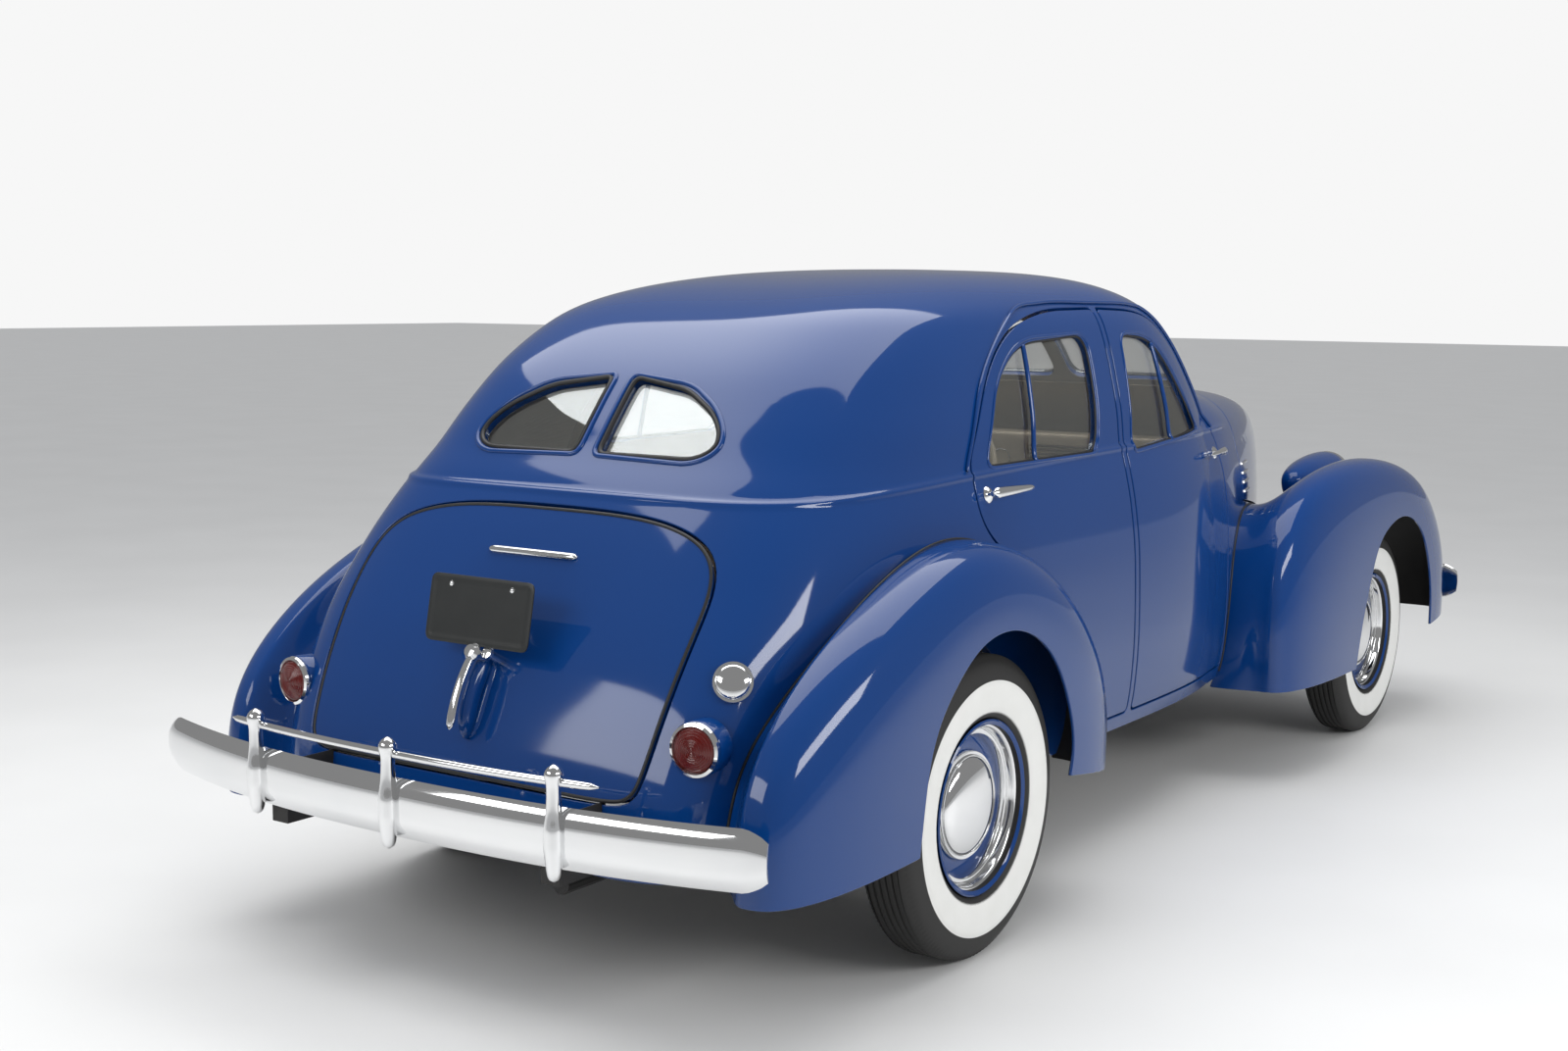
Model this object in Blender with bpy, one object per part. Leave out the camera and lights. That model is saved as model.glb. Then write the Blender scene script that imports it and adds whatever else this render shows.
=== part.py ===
"""Vintage four-door fastback sedan, built as separate pieces at real size.

Metres, +Z up. The car faces -Y and its right side is -X. The origin is on the ground,
midway along and across the car.
"""

import math

import bmesh
import bpy
import numpy as np
from mathutils import Matrix, Vector

# Driving dimensions of the car
CAR_LENGTH = 4.839
WHEELBASE = 2.921
HEIGHT = 1.61
BODY_HALF = 0.712
REAR_OVERHANG = 1.0895
REAR_TRACK_HALF = 0.772
FRONT_TRACK_HALF = 0.724
TYRE_RADIUS = 0.357
TYRE_HALF_WIDTH = 0.0765
RIM_RADIUS = 0.205
HUBCAP_RADIUS = 0.128
TYRE_SEGMENTS = 28
WHEEL_SEGMENTS = 20

REAR_AXLE_Y = CAR_LENGTH / 2 - REAR_OVERHANG
FRONT_AXLE_Y = REAR_AXLE_Y - WHEELBASE
AXLE_Z = TYRE_RADIUS

# Places along the body
PILLAR_Y = 0.23
WIDEST_Y = 0.25
TAIL_REACH = 1.95
SCREEN_REACH = 1.05
NOSE_REACH = 2.52
FIREWALL_Y = -0.885
NOSE_Y = -2.0
HOOD_EDGE_Z = 0.87
HOOD_EDGE_DROP = 0.145
HOOD_ARC_POINTS = 7
SHOULDER_Z = 0.80
NOSE_BOTTOM = 0.42

# Wall thicknesses and clearances
WALL = 0.025
SHEET = 0.008
GLASS = 0.005
GLASS_SETBACK = 0.010
GAP = 0.0003
SEAM_GAP = 0.006
FENDER_FLANGE = 0.020
LID_STEP = 0.016
RUNNING_GAP = 0.0055
OVERRUN = 0.05

# Half width of the body against height, as shares of BODY_HALF and HEIGHT
WIDTH_SHARES = (
    (0.180, 0.930), (0.224, 0.969), (0.280, 0.989), (0.373, 1.000), (0.497, 0.994), (0.590, 0.972),
    (0.652, 0.944), (0.683, 0.926), (0.702, 0.913), (0.745, 0.902), (0.807, 0.874), (0.882, 0.829),
    (0.919, 0.794), (0.950, 0.723), (0.972, 0.632), (0.988, 0.506), (0.996, 0.351), (1.000, 0.020),
)
# Reach of the tail behind WIDEST_Y against height, as shares of TAIL_REACH and HEIGHT
TAIL_SHARES = (
    (0.180, 1.000), (0.280, 0.995), (0.373, 0.969), (0.466, 0.931), (0.559, 0.882), (0.652, 0.826),
    (0.689, 0.800), (0.720, 0.774), (0.776, 0.736), (0.835, 0.692), (0.882, 0.641), (0.932, 0.564),
    (0.963, 0.472), (0.981, 0.374), (0.994, 0.241), (1.000, 0.050),
)
# Reach of the windscreen and roof ahead of WIDEST_Y, as shares of SCREEN_REACH and HEIGHT
SCREEN_SHARES = (
    (0.180, 1.150), (0.683, 1.080), (0.745, 1.000), (0.839, 0.867), (0.901, 0.743), (0.944, 0.619),
    (0.975, 0.448), (0.994, 0.219), (1.000, 0.020),
)
# Squareness of the tail in plan against height
SQUARE_SHARES = (
    (0.180, 9.0), (0.373, 9.2), (0.466, 9.2), (0.559, 8.4), (0.683, 7.1), (0.826, 5.7), (0.932, 4.7),
    (1.000, 3.0),
)
SCREEN_SQUARE_SHARE = 3.2
# Taper of hood and cowl ahead of WIDEST_Y, as shares of NOSE_REACH and of the half width
TAPER_SHARES = (
    (0.000, 1.000), (0.179, 0.975), (0.329, 0.915), (0.448, 0.820), (0.575, 0.690), (0.679, 0.565),
    (0.782, 0.425), (0.885, 0.275), (0.960, 0.150), (1.000, 0.004),
)
# Crown of cowl and hood, as shares of NOSE_REACH and HEIGHT
CROWN_SHARES = (
    (0.000, 0.800), (0.340, 0.785), (0.448, 0.770), (0.694, 0.739), (0.885, 0.690), (0.960, 0.640),
    (1.000, 0.560),
)
CROWN_SQUARE_SHARE = 4.5

# Heights of the body's level curves, as shares of HEIGHT
LEVEL_SHARES = (
    0.205, 0.310, 0.430, 0.530, 0.610, 0.675, 0.720, 0.770, 0.830, 0.885, 0.925, 0.958, 0.982, 0.996,
)
RING_POINTS = 36
RING_BUNCH_SHARE = 0.16
FLAT_ANGLE = math.radians(0.6)
CURVE_STEPS = 400

# Side outlines: shares of WHEELBASE behind PILLAR_Y, and of HEIGHT
REAR_DOOR_SHARES = (
    (0.005, 0.233), (0.005, 0.931), (0.103, 0.929), (0.171, 0.909), (0.216, 0.873), (0.248, 0.825),
    (0.277, 0.752), (0.298, 0.688), (0.293, 0.598), (0.233, 0.535), (0.183, 0.469), (0.134, 0.382),
    (0.110, 0.300), (0.109, 0.233),
)
FRONT_DOOR_SHARES = (
    (-0.005, 0.233), (-0.005, 0.931), (-0.089, 0.927), (-0.137, 0.911), (-0.185, 0.855), (-0.262, 0.697),
    (-0.277, 0.658), (-0.279, 0.233),
)
REAR_LIGHT_SHARES = (
    (0.264, 0.693), (0.252, 0.745), (0.229, 0.817), (0.195, 0.860), (0.161, 0.878), (0.043, 0.888),
    (0.045, 0.789), (0.053, 0.693),
)
FRONT_LIGHT_SHARES = (
    (-0.024, 0.686), (-0.035, 0.886), (-0.089, 0.881), (-0.116, 0.866), (-0.144, 0.829), (-0.210, 0.705),
)
# Outlines seen from the rear or the front: shares of BODY_HALF and HEIGHT
LID_SHARES = (
    (0.600, 0.299), (0.668, 0.308), (0.692, 0.335), (0.712, 0.427), (0.729, 0.524), (0.720, 0.575),
    (0.672, 0.608), (0.580, 0.630), (0.420, 0.645), (0.180, 0.651),
)
LID_WIDEST_SHARE = 0.729
BACKLIGHT_SHARES = (
    (0.048, 0.723), (0.440, 0.723), (0.500, 0.738), (0.490, 0.760), (0.430, 0.785), (0.290, 0.815),
    (0.048, 0.830),
)
SCREEN_LIGHT_SHARES = ((0.035, 0.795), (0.660, 0.795), (0.675, 0.830), (0.610, 0.905), (0.035, 0.918))

# Fender curves in tyre radii from the wheel centre: along the car, and up
REAR_SEAM_SHARES = (
    (-1.93, -0.10), (-1.96, 0.33), (-1.87, 0.69), (-1.51, 1.12), (-1.19, 1.38), (-0.85, 1.56), (-0.47, 1.69),
    (-0.20, 1.715), (0.22, 1.66), (0.85, 1.435), (1.42, 1.11), (1.84, 0.78), (2.05, 0.51), (2.09, 0.24),
    (2.09, -0.10),
)
REAR_CROWN_SHARES = (
    (-1.90, -0.10), (-1.93, 0.33), (-1.84, 0.69), (-1.48, 1.10), (-1.17, 1.35), (-0.84, 1.53), (-0.46, 1.68),
    (0.00, 1.74), (0.45, 1.69), (0.96, 1.52), (1.49, 1.28), (1.85, 1.05), (2.12, 0.81), (2.30, 0.57),
    (2.36, 0.26), (2.34, -0.10),
)
REAR_LIP_SHARES = (
    (-0.99, 0.04), (-1.06, 0.18), (-0.99, 0.46), (-0.78, 0.83), (-0.48, 1.07), (-0.10, 1.18), (0.28, 1.14),
    (0.59, 0.95), (0.90, 0.60), (1.04, -0.06),
)
FRONT_SEAM_SHARES = (
    (2.80, -0.16), (2.76, 0.54), (2.61, 1.08), (2.22, 1.35), (1.52, 1.36), (0.68, 1.24), (-0.17, 1.12),
    (-0.87, 1.02), (-1.37, 0.80), (-1.60, 0.46), (-1.62, 0.06),
)
FRONT_CROWN_SHARES = (
    (2.74, -0.16), (2.74, 0.54), (2.60, 1.13), (2.22, 1.50), (1.52, 1.70), (0.68, 1.76), (-0.17, 1.70),
    (-1.01, 1.48), (-1.62, 1.07), (-1.96, 0.54), (-1.92, 0.02),
)
FRONT_LIP_SHARES = (
    (1.18, -0.16), (1.04, 0.26), (0.84, 0.65), (0.65, 0.96), (0.34, 1.11), (-0.05, 1.18), (-0.45, 1.11),
    (-0.78, 0.93), (-1.01, 0.62), (-1.15, 0.26), (-1.15, -0.05),
)
FRONT_CROWN_ASIDE = 0.050
REAR_CROWN_ASIDE = 0.036
REAR_LIP_ASIDE = 0.173
FRONT_LIP_ASIDE = 0.168
FRONT_CROWN_X = BODY_HALF + FRONT_CROWN_ASIDE
REAR_CROWN_X = BODY_HALF + REAR_CROWN_ASIDE
REAR_LIP_X = BODY_HALF + REAR_LIP_ASIDE
FRONT_LIP_X = BODY_HALF + FRONT_LIP_ASIDE
FENDER_STATIONS = 13
WALK_ROWS = 5
FLANK_ROWS = 6
FENDER_SQUARE_SHARE = 2.8

# Bumpers
BUMPER_BLADE_HALF = 0.066
# Section of the blade, as shares of its depth and of its half height
BLADE_SECTION_SHARES = (
    (-1.0, -0.8), (-0.2, -1.0), (0.7, -0.55), (1.0, 0), (0.7, 0.55), (-0.2, 1.0), (-1.0, 0.8),
)
BLADE_END_SHARE = 0.30
BUMPER_BLADE_Z = 0.455
BUMPER_DEPTH = 0.020
BUMPER_HALF_SPAN = 0.880
BUMPER_SWEEP = 0.125
FRONT_BUMPER_SWEEP = 0.055
BUMPER_BOW_SHARE = 2.4
BLADE_INSET = 0.031
BLADE_STATIONS = 11
BRACKET_SETBACK = 0.078
GUARD_X = 0.438
GUARD_HALF_WIDTH = 0.020
GUARD_HALF_DEPTH = 0.0225
GUARD_TOP_Z = 0.612
GUARD_BOTTOM_Z = 0.365
BAR_HALF_SPAN = 0.54
BAR_RADIUS = 0.0085
BAR_Z = 0.572

# Floor
FLOOR_Z = 0.352
FLOOR_THICKNESS = 0.015
TRUNK_FLOOR_Z = 0.640
TUNNEL_HALF_WIDTH = 0.11
TUNNEL_HEIGHT = 0.05
HEEL_Y = 0.915
WELL_RADIUS = 0.415
WELL_SIDE_GAP = 0.0655
WELL_INNER_X = REAR_TRACK_HALF - TYRE_HALF_WIDTH - WELL_SIDE_GAP

# Axles and steering
AXLE_TUBE_RADIUS = 0.038
BULB_RADIUS = 0.129
BULB_START = 0.5
PINION_REACH = 0.100
SPINDLE_RADIUS = 0.018
KINGPIN_INSET = 0.074
KINGPIN_X = FRONT_TRACK_HALF - KINGPIN_INSET
KINGPIN_RADIUS = 0.011
YOKE_Z = 0.075
FRONT_BEAM_Z = AXLE_Z - YOKE_Z / 2
TRACK_ARM_INSET = 0.050
TRACK_ARM_X = KINGPIN_X - TRACK_ARM_INSET
TRACK_ARM_BACK = 0.160
TRACK_ARM_ROOT_SHARE = 0.7
TRACK_ARM_RADIUS = 0.0088
TRACK_ROD_RADIUS = 0.011

# Frame and springs
RAIL_X = 0.400
RAIL_HALF_WIDTH = 0.025
RAIL_HALF_HEIGHT = 0.040
RAIL_LOW_Z = FLOOR_Z - RAIL_HALF_HEIGHT - GAP
FRONT_ARCH_Z = AXLE_Z + YOKE_Z + RAIL_HALF_HEIGHT
REAR_ARCH_Z = TRUNK_FLOOR_Z - RAIL_HALF_HEIGHT - GAP
TAIL_RAIL_Z = 0.388
MEMBER_HALF = 0.024
FRONT_HORN_AHEAD = 0.56
FRONT_ARCH_AHEAD = 0.40
REAR_ARCH_AHEAD = 0.20
REAR_ARCH_BEHIND = 0.25
TAIL_RAIL_BEHIND = 0.55
SPRING_STATIONS = 6
SPRING_RISE_SHARE = 0.14
SPRING_HALF_HEIGHT = 0.0125
FRONT_SPRING_HALF = 0.360
REAR_SPRING_HALF = 0.360
REAR_SPRING_ASIDE = 0.065
REAR_SPRING_X = RAIL_X + REAR_SPRING_ASIDE
REAR_SPRING_Z = AXLE_Z - AXLE_TUBE_RADIUS
REAR_ARCH_SHARES = (0.1, 0.7)

# Drive line
ENGINE_HALF_WIDTH = 0.130
ENGINE_LENGTH = 0.840
ENGINE_SETBACK = 0.060
ENGINE_BOTTOM = 0.420
ENGINE_BELOW_ROOF = 0.680
ENGINE_TOP = HEIGHT - ENGINE_BELOW_ROOF
GEARBOX_MOUNT_Y = -0.685
GEARBOX_END_Y = -0.40
EXHAUST_RADIUS = 0.024
EXHAUST_BEHIND = 0.750
MUFFLER_Y = 0.120
MUFFLER_LENGTH = 0.560
MUFFLER_RADIUS = 0.048
TANK_BEHIND = 0.300
TANK_LENGTH = 0.320
TANK_HALF_WIDTH = 0.340
TANK_HEIGHT = 0.160

# Hinges
DOOR_HINGE_X = 0.722
DOOR_HINGE_OFFSET = 0.012
LID_HINGE_Y = 1.872
LID_HINGE_Z = 1.062
HOOD_HINGE_Y = -0.888
HOOD_HINGE_Z = 1.245

# Cabin
SEAT_SIDE_ROOM = 0.157
SEAT_HALF_WIDTH = BODY_HALF - SEAT_SIDE_ROOM
SEAT_DEPTH = 0.50
SEAT_TOP_Z = 0.560
SEAT_BACK_HEIGHT = 0.46
SEAT_BACK_THICKNESS = 0.13
SEAT_DIP = 0.020
FRONT_SEAT_Y = -0.30
FRONT_SEAT_LEAN = 0.10
REAR_SEAT_Y = 0.375
REAR_SEAT_LEAN = 0.08
DASH_Y = -0.72
DASH_DEPTH = 0.100
DASH_TOP_Z = 1.080
DASH_BOTTOM_Z = 0.860
STEERING_X = 0.330
STEERING_WHEEL_RADIUS = 0.215
STEERING_RIM_RADIUS = 0.011
STEERING_BEHIND = 0.290
STEERING_Z = 0.930
STEERING_DROP = 0.600
STEERING_TILT = math.radians(32)
SPOKE_TURN = 0.4
COLUMN_RADIUS = 0.022

# Lamps and filler
TAIL_LAMP_SHARE = 0.834
TAIL_LAMP_Z = 0.611
TAIL_LAMP_RADIUS = 0.060
TAIL_LAMP_DEPTH = 0.045
FILLER_RADIUS = 0.044
FILLER_HEIGHT = 0.060
FILLER_TURN = math.radians(35)
FILLER_TILT = math.radians(20)
FILLER_SHARE = 0.862
FILLER_Z = 0.733
HEADLAMP_X = 0.480
HEADLAMP_Y = -1.930
HEADLAMP_Z = 0.872
HEADLAMP_RADIUS = 0.088
HEADLAMP_LENGTH = 0.46
POD_DROP_SHARE = 1.65

SIDES = (("left", 1), ("right", -1))


def clear_scene():
    """Remove every object of the startup scene."""
    for item in list(bpy.data.objects):
        bpy.data.objects.remove(item, do_unlink=True)


def material(name, colour, roughness, metallic=0.0):
    """Principled material with the sub-part's colour and finish."""
    made = bpy.data.materials.get(name)
    if made:
        return made
    made = bpy.data.materials.new(name)
    made.use_nodes = True
    shader = made.node_tree.nodes["Principled BSDF"]
    shader.inputs["Base Color"].default_value = (*colour, 1.0)
    shader.inputs["Roughness"].default_value = roughness
    shader.inputs["Metallic"].default_value = metallic
    return made


def paint():
    return material("blue_paint", (0.010, 0.060, 0.230), 0.18)


def chrome():
    return material("chrome", (0.86, 0.87, 0.88), 0.08, 1.0)


def black_steel():
    return material("black_steel", (0.020, 0.020, 0.022), 0.55, 0.4)


def rubber():
    return material("rubber", (0.018, 0.018, 0.018), 0.75)


def glass():
    return material("glass", (0.70, 0.76, 0.76), 0.05)


def beige_cloth():
    return material("beige_cloth", (0.42, 0.34, 0.24), 0.9)


def red_lens():
    return material("red_lens", (0.40, 0.010, 0.010), 0.15)


def curve(shares, at):
    """Smooth monotone cubic through (position, value) pairs."""
    table = np.asarray(shares, float)
    x, y = table[:, 0], table[:, 1]
    width = np.diff(x)
    slope = np.diff(y) / width
    tangent = np.zeros_like(y)
    tangent[0], tangent[-1] = slope[0], slope[-1]
    same = slope[:-1] * slope[1:] > 0
    before, after = 2 * width[1:] + width[:-1], width[1:] + 2 * width[:-1]
    safe_low = np.where(same, slope[:-1], 1)
    safe_high = np.where(same, slope[1:], 1)
    tangent[1:-1] = np.where(same, (before + after) / (before / safe_low + after / safe_high), 0)
    at = np.clip(at, x[0], x[-1])
    index = np.clip(np.searchsorted(x, at, side="right") - 1, 0, len(width) - 1)
    u = (at - x[index]) / width[index]
    h = width[index]
    start = (1 + 2 * u) * (1 - u) ** 2 * y[index] + u * (1 - u) ** 2 * h * tangent[index]
    end = u * u * (3 - 2 * u) * y[index + 1] + u * u * (u - 1) * h * tangent[index + 1]
    return start + end


def lower_half_width(y, z):
    """Half width of cowl, hood and lower body ahead of WIDEST_Y, none above the crown."""
    ahead = np.clip((WIDEST_Y - y) / NOSE_REACH, 0, 1)
    crown = HEIGHT * curve(CROWN_SHARES, ahead)
    widest = BODY_HALF * curve(WIDTH_SHARES, np.minimum(z / HEIGHT, WIDTH_SHARES[6][0]))
    rise = np.clip((z - SHOULDER_Z) / np.maximum(crown - SHOULDER_Z, GAP), 0, 1)
    shoulder = (1 - rise**CROWN_SQUARE_SHARE) ** (1 / CROWN_SQUARE_SHARE)
    return np.where(WIDEST_Y - y < NOSE_REACH, widest * curve(TAPER_SHARES, ahead) * shoulder, 0)


def body_radius(angle, z):
    """Distance of the body's skin from the upright line through WIDEST_Y.

    Angle 0 points to the tail and pi to the nose. Each level is a squared ellipse behind, and the
    greater of the windscreen's ellipse and the tapering hood in front.
    """
    share = z / HEIGHT
    half = BODY_HALF * curve(WIDTH_SHARES, share)
    along, across = np.cos(angle), np.abs(np.sin(angle))
    behind = along >= 0
    tail_reach = TAIL_REACH * curve(TAIL_SHARES, share)
    screen_reach = SCREEN_REACH * curve(SCREEN_SHARES, share)
    reach = np.where(behind, tail_reach, screen_reach)
    square = np.where(behind, curve(SQUARE_SHARES, share), SCREEN_SQUARE_SHARE)
    cabin = ((np.abs(along) / reach) ** square + (across / half) ** square) ** (-1 / square)
    low, high = np.zeros_like(cabin), np.full_like(cabin, NOSE_REACH)
    for _ in range(40):
        middle = (low + high) / 2
        inside = middle * across < lower_half_width(WIDEST_Y + middle * along, z)
        low, high = np.where(inside, middle, low), np.where(inside, high, middle)
    hood = np.where(behind, 0, low)
    return np.maximum(cabin, hood)


def side_half(y, z):
    """Half width of the body's skin at a place seen from the side."""
    y, z = np.asarray(y, float), np.asarray(z, float)
    half = BODY_HALF * curve(WIDTH_SHARES, z / HEIGHT)
    square = curve(SQUARE_SHARES, z / HEIGHT)
    behind = np.clip((y - WIDEST_Y) / (TAIL_REACH * curve(TAIL_SHARES, z / HEIGHT)), 0, 1)
    return np.where(y > WIDEST_Y, half * (1 - behind**square) ** (1 / square), lower_half_width(y, z))


def ring_angles():
    """Angles round the body, closer together at the tail's corners and at the nose."""
    even = np.linspace(0, 2 * math.pi, RING_POINTS, endpoint=False)
    return even - RING_BUNCH_SHARE * np.sin(2 * even)


def body_grid():
    """Points of the body's skin, level by level from the sill to the roof."""
    angle, share = np.meshgrid(ring_angles(), np.array(LEVEL_SHARES))
    z = share * HEIGHT
    radius = body_radius(angle, z)
    return np.stack([radius * np.sin(angle), WIDEST_Y + radius * np.cos(angle), z], axis=-1)


def grid_normals(points, wrap):
    """Unit normals of a grid of points, from differences along both directions."""
    down = np.gradient(points, axis=0)
    if wrap:
        along = np.roll(points, -1, axis=1) - np.roll(points, 1, axis=1)
    else:
        along = np.gradient(points, axis=1)
    normal = np.cross(along, down)
    return normal / np.maximum(np.linalg.norm(normal, axis=-1, keepdims=True), GAP * GAP)


def mesh_object(name, points, faces, finish, smooth_angle=35):
    """Object from points and faces, shaded smooth up to an angle."""
    mesh = bpy.data.meshes.new(name)
    mesh.from_pydata([tuple(map(float, p)) for p in points], [], faces)
    made = bmesh.new()
    made.from_mesh(mesh)
    bmesh.ops.recalc_face_normals(made, faces=made.faces)
    made.to_mesh(mesh)
    made.free()
    mesh.materials.append(finish)
    mesh.shade_smooth()
    mesh.set_sharp_from_angle(angle=math.radians(smooth_angle))
    obj = bpy.data.objects.new(name, mesh)
    bpy.context.collection.objects.link(obj)
    return obj


def closed_ring_shell(name, outer, inner, finish):
    """Shell between two ring grids: open at the first row, closed over the last."""
    rows, columns = outer.shape[:2]
    count = rows * columns
    faces = []
    for row in range(rows - 1):
        for column in range(columns):
            following = (column + 1) % columns
            a, b = row * columns + column, row * columns + following
            faces += [(a, b, b + columns), (a, b + columns, a + columns)]
            c, d = count + a, count + b
            faces += [(c, d + columns, d), (c, c + columns, d + columns)]
    for column in range(columns):
        following = (column + 1) % columns
        faces.append((column, count + column, count + following, following))
    last = count - columns
    faces.append(tuple(range(last, count)))
    faces.append(tuple(reversed(range(count + last, 2 * count))))
    return mesh_object(name, np.concatenate([outer.reshape(-1, 3), inner.reshape(-1, 3)]), faces, finish)


def sheet(name, outer, inner, finish):
    """Closed sheet between two grids of points, with a rim."""
    rows, columns = outer.shape[:2]
    count = rows * columns
    faces = []
    for row in range(rows - 1):
        for column in range(columns - 1):
            a = row * columns + column
            b, c, d = a + 1, a + columns + 1, a + columns
            faces += [(a, b, c), (a, c, d)]
            faces += [(count + i, count + k, count + j) for i, j, k in ((a, b, c), (a, c, d))]
    top = list(range(columns))
    right = [row * columns + columns - 1 for row in range(1, rows)]
    bottom = list(range(count - 2, count - columns - 1, -1))
    left = [row * columns for row in range(rows - 2, 0, -1)]
    border = top + right + bottom + left
    for index, a in enumerate(border):
        b = border[(index + 1) % len(border)]
        faces.append((a, count + a, count + b, b))
    return mesh_object(name, np.concatenate([outer.reshape(-1, 3), inner.reshape(-1, 3)]), faces, finish)


def loft(name, rings, finish, smooth_angle=35):
    """Solid through closed rings of equal point counts, with flat ends."""
    rings = np.asarray(rings, float)
    rows, columns = rings.shape[:2]
    faces = [tuple(range(columns)), tuple(range((rows - 1) * columns, rows * columns))]
    for row in range(rows - 1):
        for column in range(columns):
            following = (column + 1) % columns
            a, b = row * columns + column, row * columns + following
            faces += [(a, b, b + columns), (a, b + columns, a + columns)]
    return mesh_object(name, rings.reshape(-1, 3), faces, finish, smooth_angle)


def turned(name, profile, segments, finish, axis="X", smooth_angle=35):
    """Solid turned about the local axis from (radius, along) pairs; a closed loop makes a ring."""
    on_axis = profile[0][0] == 0
    angles = np.linspace(0, 2 * math.pi, segments, endpoint=False)
    points, faces, rows = [], [], []
    for radius, along in profile:
        if radius == 0:
            rows.append([len(points)])
            points.append((along, 0, 0))
            continue
        rows.append(list(range(len(points), len(points) + segments)))
        points.extend((along, radius * math.cos(a), radius * math.sin(a)) for a in angles)
    pairs = list(zip(rows, rows[1:] if on_axis else rows[1:] + rows[:1]))
    for one, two in pairs:
        for k in range(segments):
            n = (k + 1) % segments
            if len(one) == 1:
                faces.append((one[0], two[k], two[n]))
            elif len(two) == 1:
                faces.append((one[k], two[0], one[n]))
            else:
                faces.append((one[k], two[k], two[n], one[n]))
    points = np.array(points, float)
    if axis == "Y":
        points = points[:, [1, 0, 2]]
    if axis == "Z":
        points = points[:, [2, 1, 0]]
    return mesh_object(name, points, faces, finish, smooth_angle)


def box(name, low, high, finish):
    """Box between two corners."""
    corners = [(x, y, z) for z in (low[2], high[2]) for y in (low[1], high[1]) for x in (low[0], high[0])]
    faces = [(0, 1, 3, 2), (4, 6, 7, 5), (0, 4, 5, 1), (2, 3, 7, 6), (0, 2, 6, 4), (1, 5, 7, 3)]
    return mesh_object(name, corners, faces, finish)


def rod(name, start, end, radius, finish, sides=10):
    """Round rod between two points."""
    start, end = Vector(start), Vector(end)
    turn = (end - start).to_track_quat("Z", "Y").to_matrix()
    rings = []
    for centre in (start, end):
        ring = []
        for k in range(sides):
            a = 2 * math.pi * k / sides
            ring.append(tuple(centre + turn @ Vector((radius * math.cos(a), radius * math.sin(a), 0))))
        rings.append(ring)
    return loft(name, rings, finish)


def beam(name, centres, half_width, half_height, finish):
    """Rectangular beam along the car through (x, y, z) centres."""
    rings = []
    for x, y, z in centres:
        w, h = half_width, half_height
        rings.append([(x - w, y, z - h), (x + w, y, z - h), (x + w, y, z + h), (x - w, y, z + h)])
    return loft(name, rings, finish)


def prism(name, outline, axis, start, end):
    """Cutter: an outline carried along X or Y. Points are (y, z) for X and (x, z) for Y."""
    rings = []
    for along in (start, end):
        if axis == "X":
            rings.append([(along, a, b) for a, b in outline])
        else:
            rings.append([(a, along, b) for a, b in outline])
    made = loft(name, rings, rubber())
    made.hide_render = True
    made.display_type = "WIRE"
    return made


def offset_outline(outline, distance):
    """Outline moved outward by a distance, corners mitred."""
    points = np.asarray(outline, float)
    following = np.roll(points, -1, axis=0)
    area = np.sum(points[:, 0] * following[:, 1] - following[:, 0] * points[:, 1])
    edge = following - points
    edge /= np.linalg.norm(edge, axis=1, keepdims=True)
    normal = np.stack([edge[:, 1], -edge[:, 0]], axis=1) * (1 if area > 0 else -1)
    before = np.roll(normal, 1, axis=0)
    mitre = (normal + before) / (1 + np.sum(normal * before, axis=1, keepdims=True))
    return points + distance * mitre


def rounded(outline, steps=2, cut_share=0.25):
    """Outline with its corners cut into short arcs."""
    points = np.asarray(outline, float)
    for _ in range(steps - 1):
        following = np.roll(points, -1, axis=0)
        near = points + cut_share * (following - points)
        far = following - cut_share * (following - points)
        points = np.stack([near, far], axis=1).reshape(-1, 2)
    return points


def bake(obj):
    """Replace an object's mesh by its evaluated one and drop its modifiers."""
    graph = bpy.context.evaluated_depsgraph_get()
    mesh = bpy.data.meshes.new_from_object(obj.evaluated_get(graph))
    old = obj.data
    obj.modifiers.clear()
    obj.data = mesh
    bpy.data.meshes.remove(old)


def boolean(obj, other, operation, keep=False):
    """Apply one exact Boolean and remove the other object unless it is kept."""
    modifier = obj.modifiers.new(operation.lower(), "BOOLEAN")
    modifier.operation = operation
    modifier.solver = "EXACT"
    modifier.object = other
    bpy.context.view_layer.update()
    bake(obj)
    if not keep:
        bpy.data.objects.remove(other, do_unlink=True)


def fuse(first, *others):
    """Union of several objects in the first."""
    for other in others:
        boolean(first, other, "UNION")
    return first


def copy_of(obj, name):
    """Independent copy of an object."""
    made = obj.copy()
    made.data = obj.data.copy()
    made.name = name
    bpy.context.collection.objects.link(made)
    return made


def tidy(obj, smooth_angle=35):
    """Merge doubled points, join flat faces and set sharp edges again."""
    work = bmesh.new()
    work.from_mesh(obj.data)
    bmesh.ops.remove_doubles(work, verts=work.verts, dist=GAP / 10)
    bmesh.ops.dissolve_degenerate(work, edges=work.edges, dist=GAP / 10)
    bmesh.ops.dissolve_limit(work, angle_limit=FLAT_ANGLE, verts=work.verts, edges=work.edges)
    work.to_mesh(obj.data)
    work.free()
    obj.data.shade_smooth()
    obj.data.set_sharp_from_angle(angle=math.radians(smooth_angle))


def place_origin(obj, point):
    """Move an object's origin to a point without moving its shape."""
    offset = Vector(point) - obj.location
    obj.data.transform(Matrix.Translation(-offset))
    obj.location = Vector(point)


def side_outline(shares):
    """Side outline in metres from its shares."""
    return [(PILLAR_Y + a * WHEELBASE, b * HEIGHT) for a, b in shares]


def cross_outline(shares, both_halves):
    """Rear or front outline in metres, mirrored where it spans the car."""
    half = [(a * BODY_HALF, b * HEIGHT) for a, b in shares]
    if not both_halves:
        return half
    return half + [(-x, z) for x, z in reversed(half)]


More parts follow.
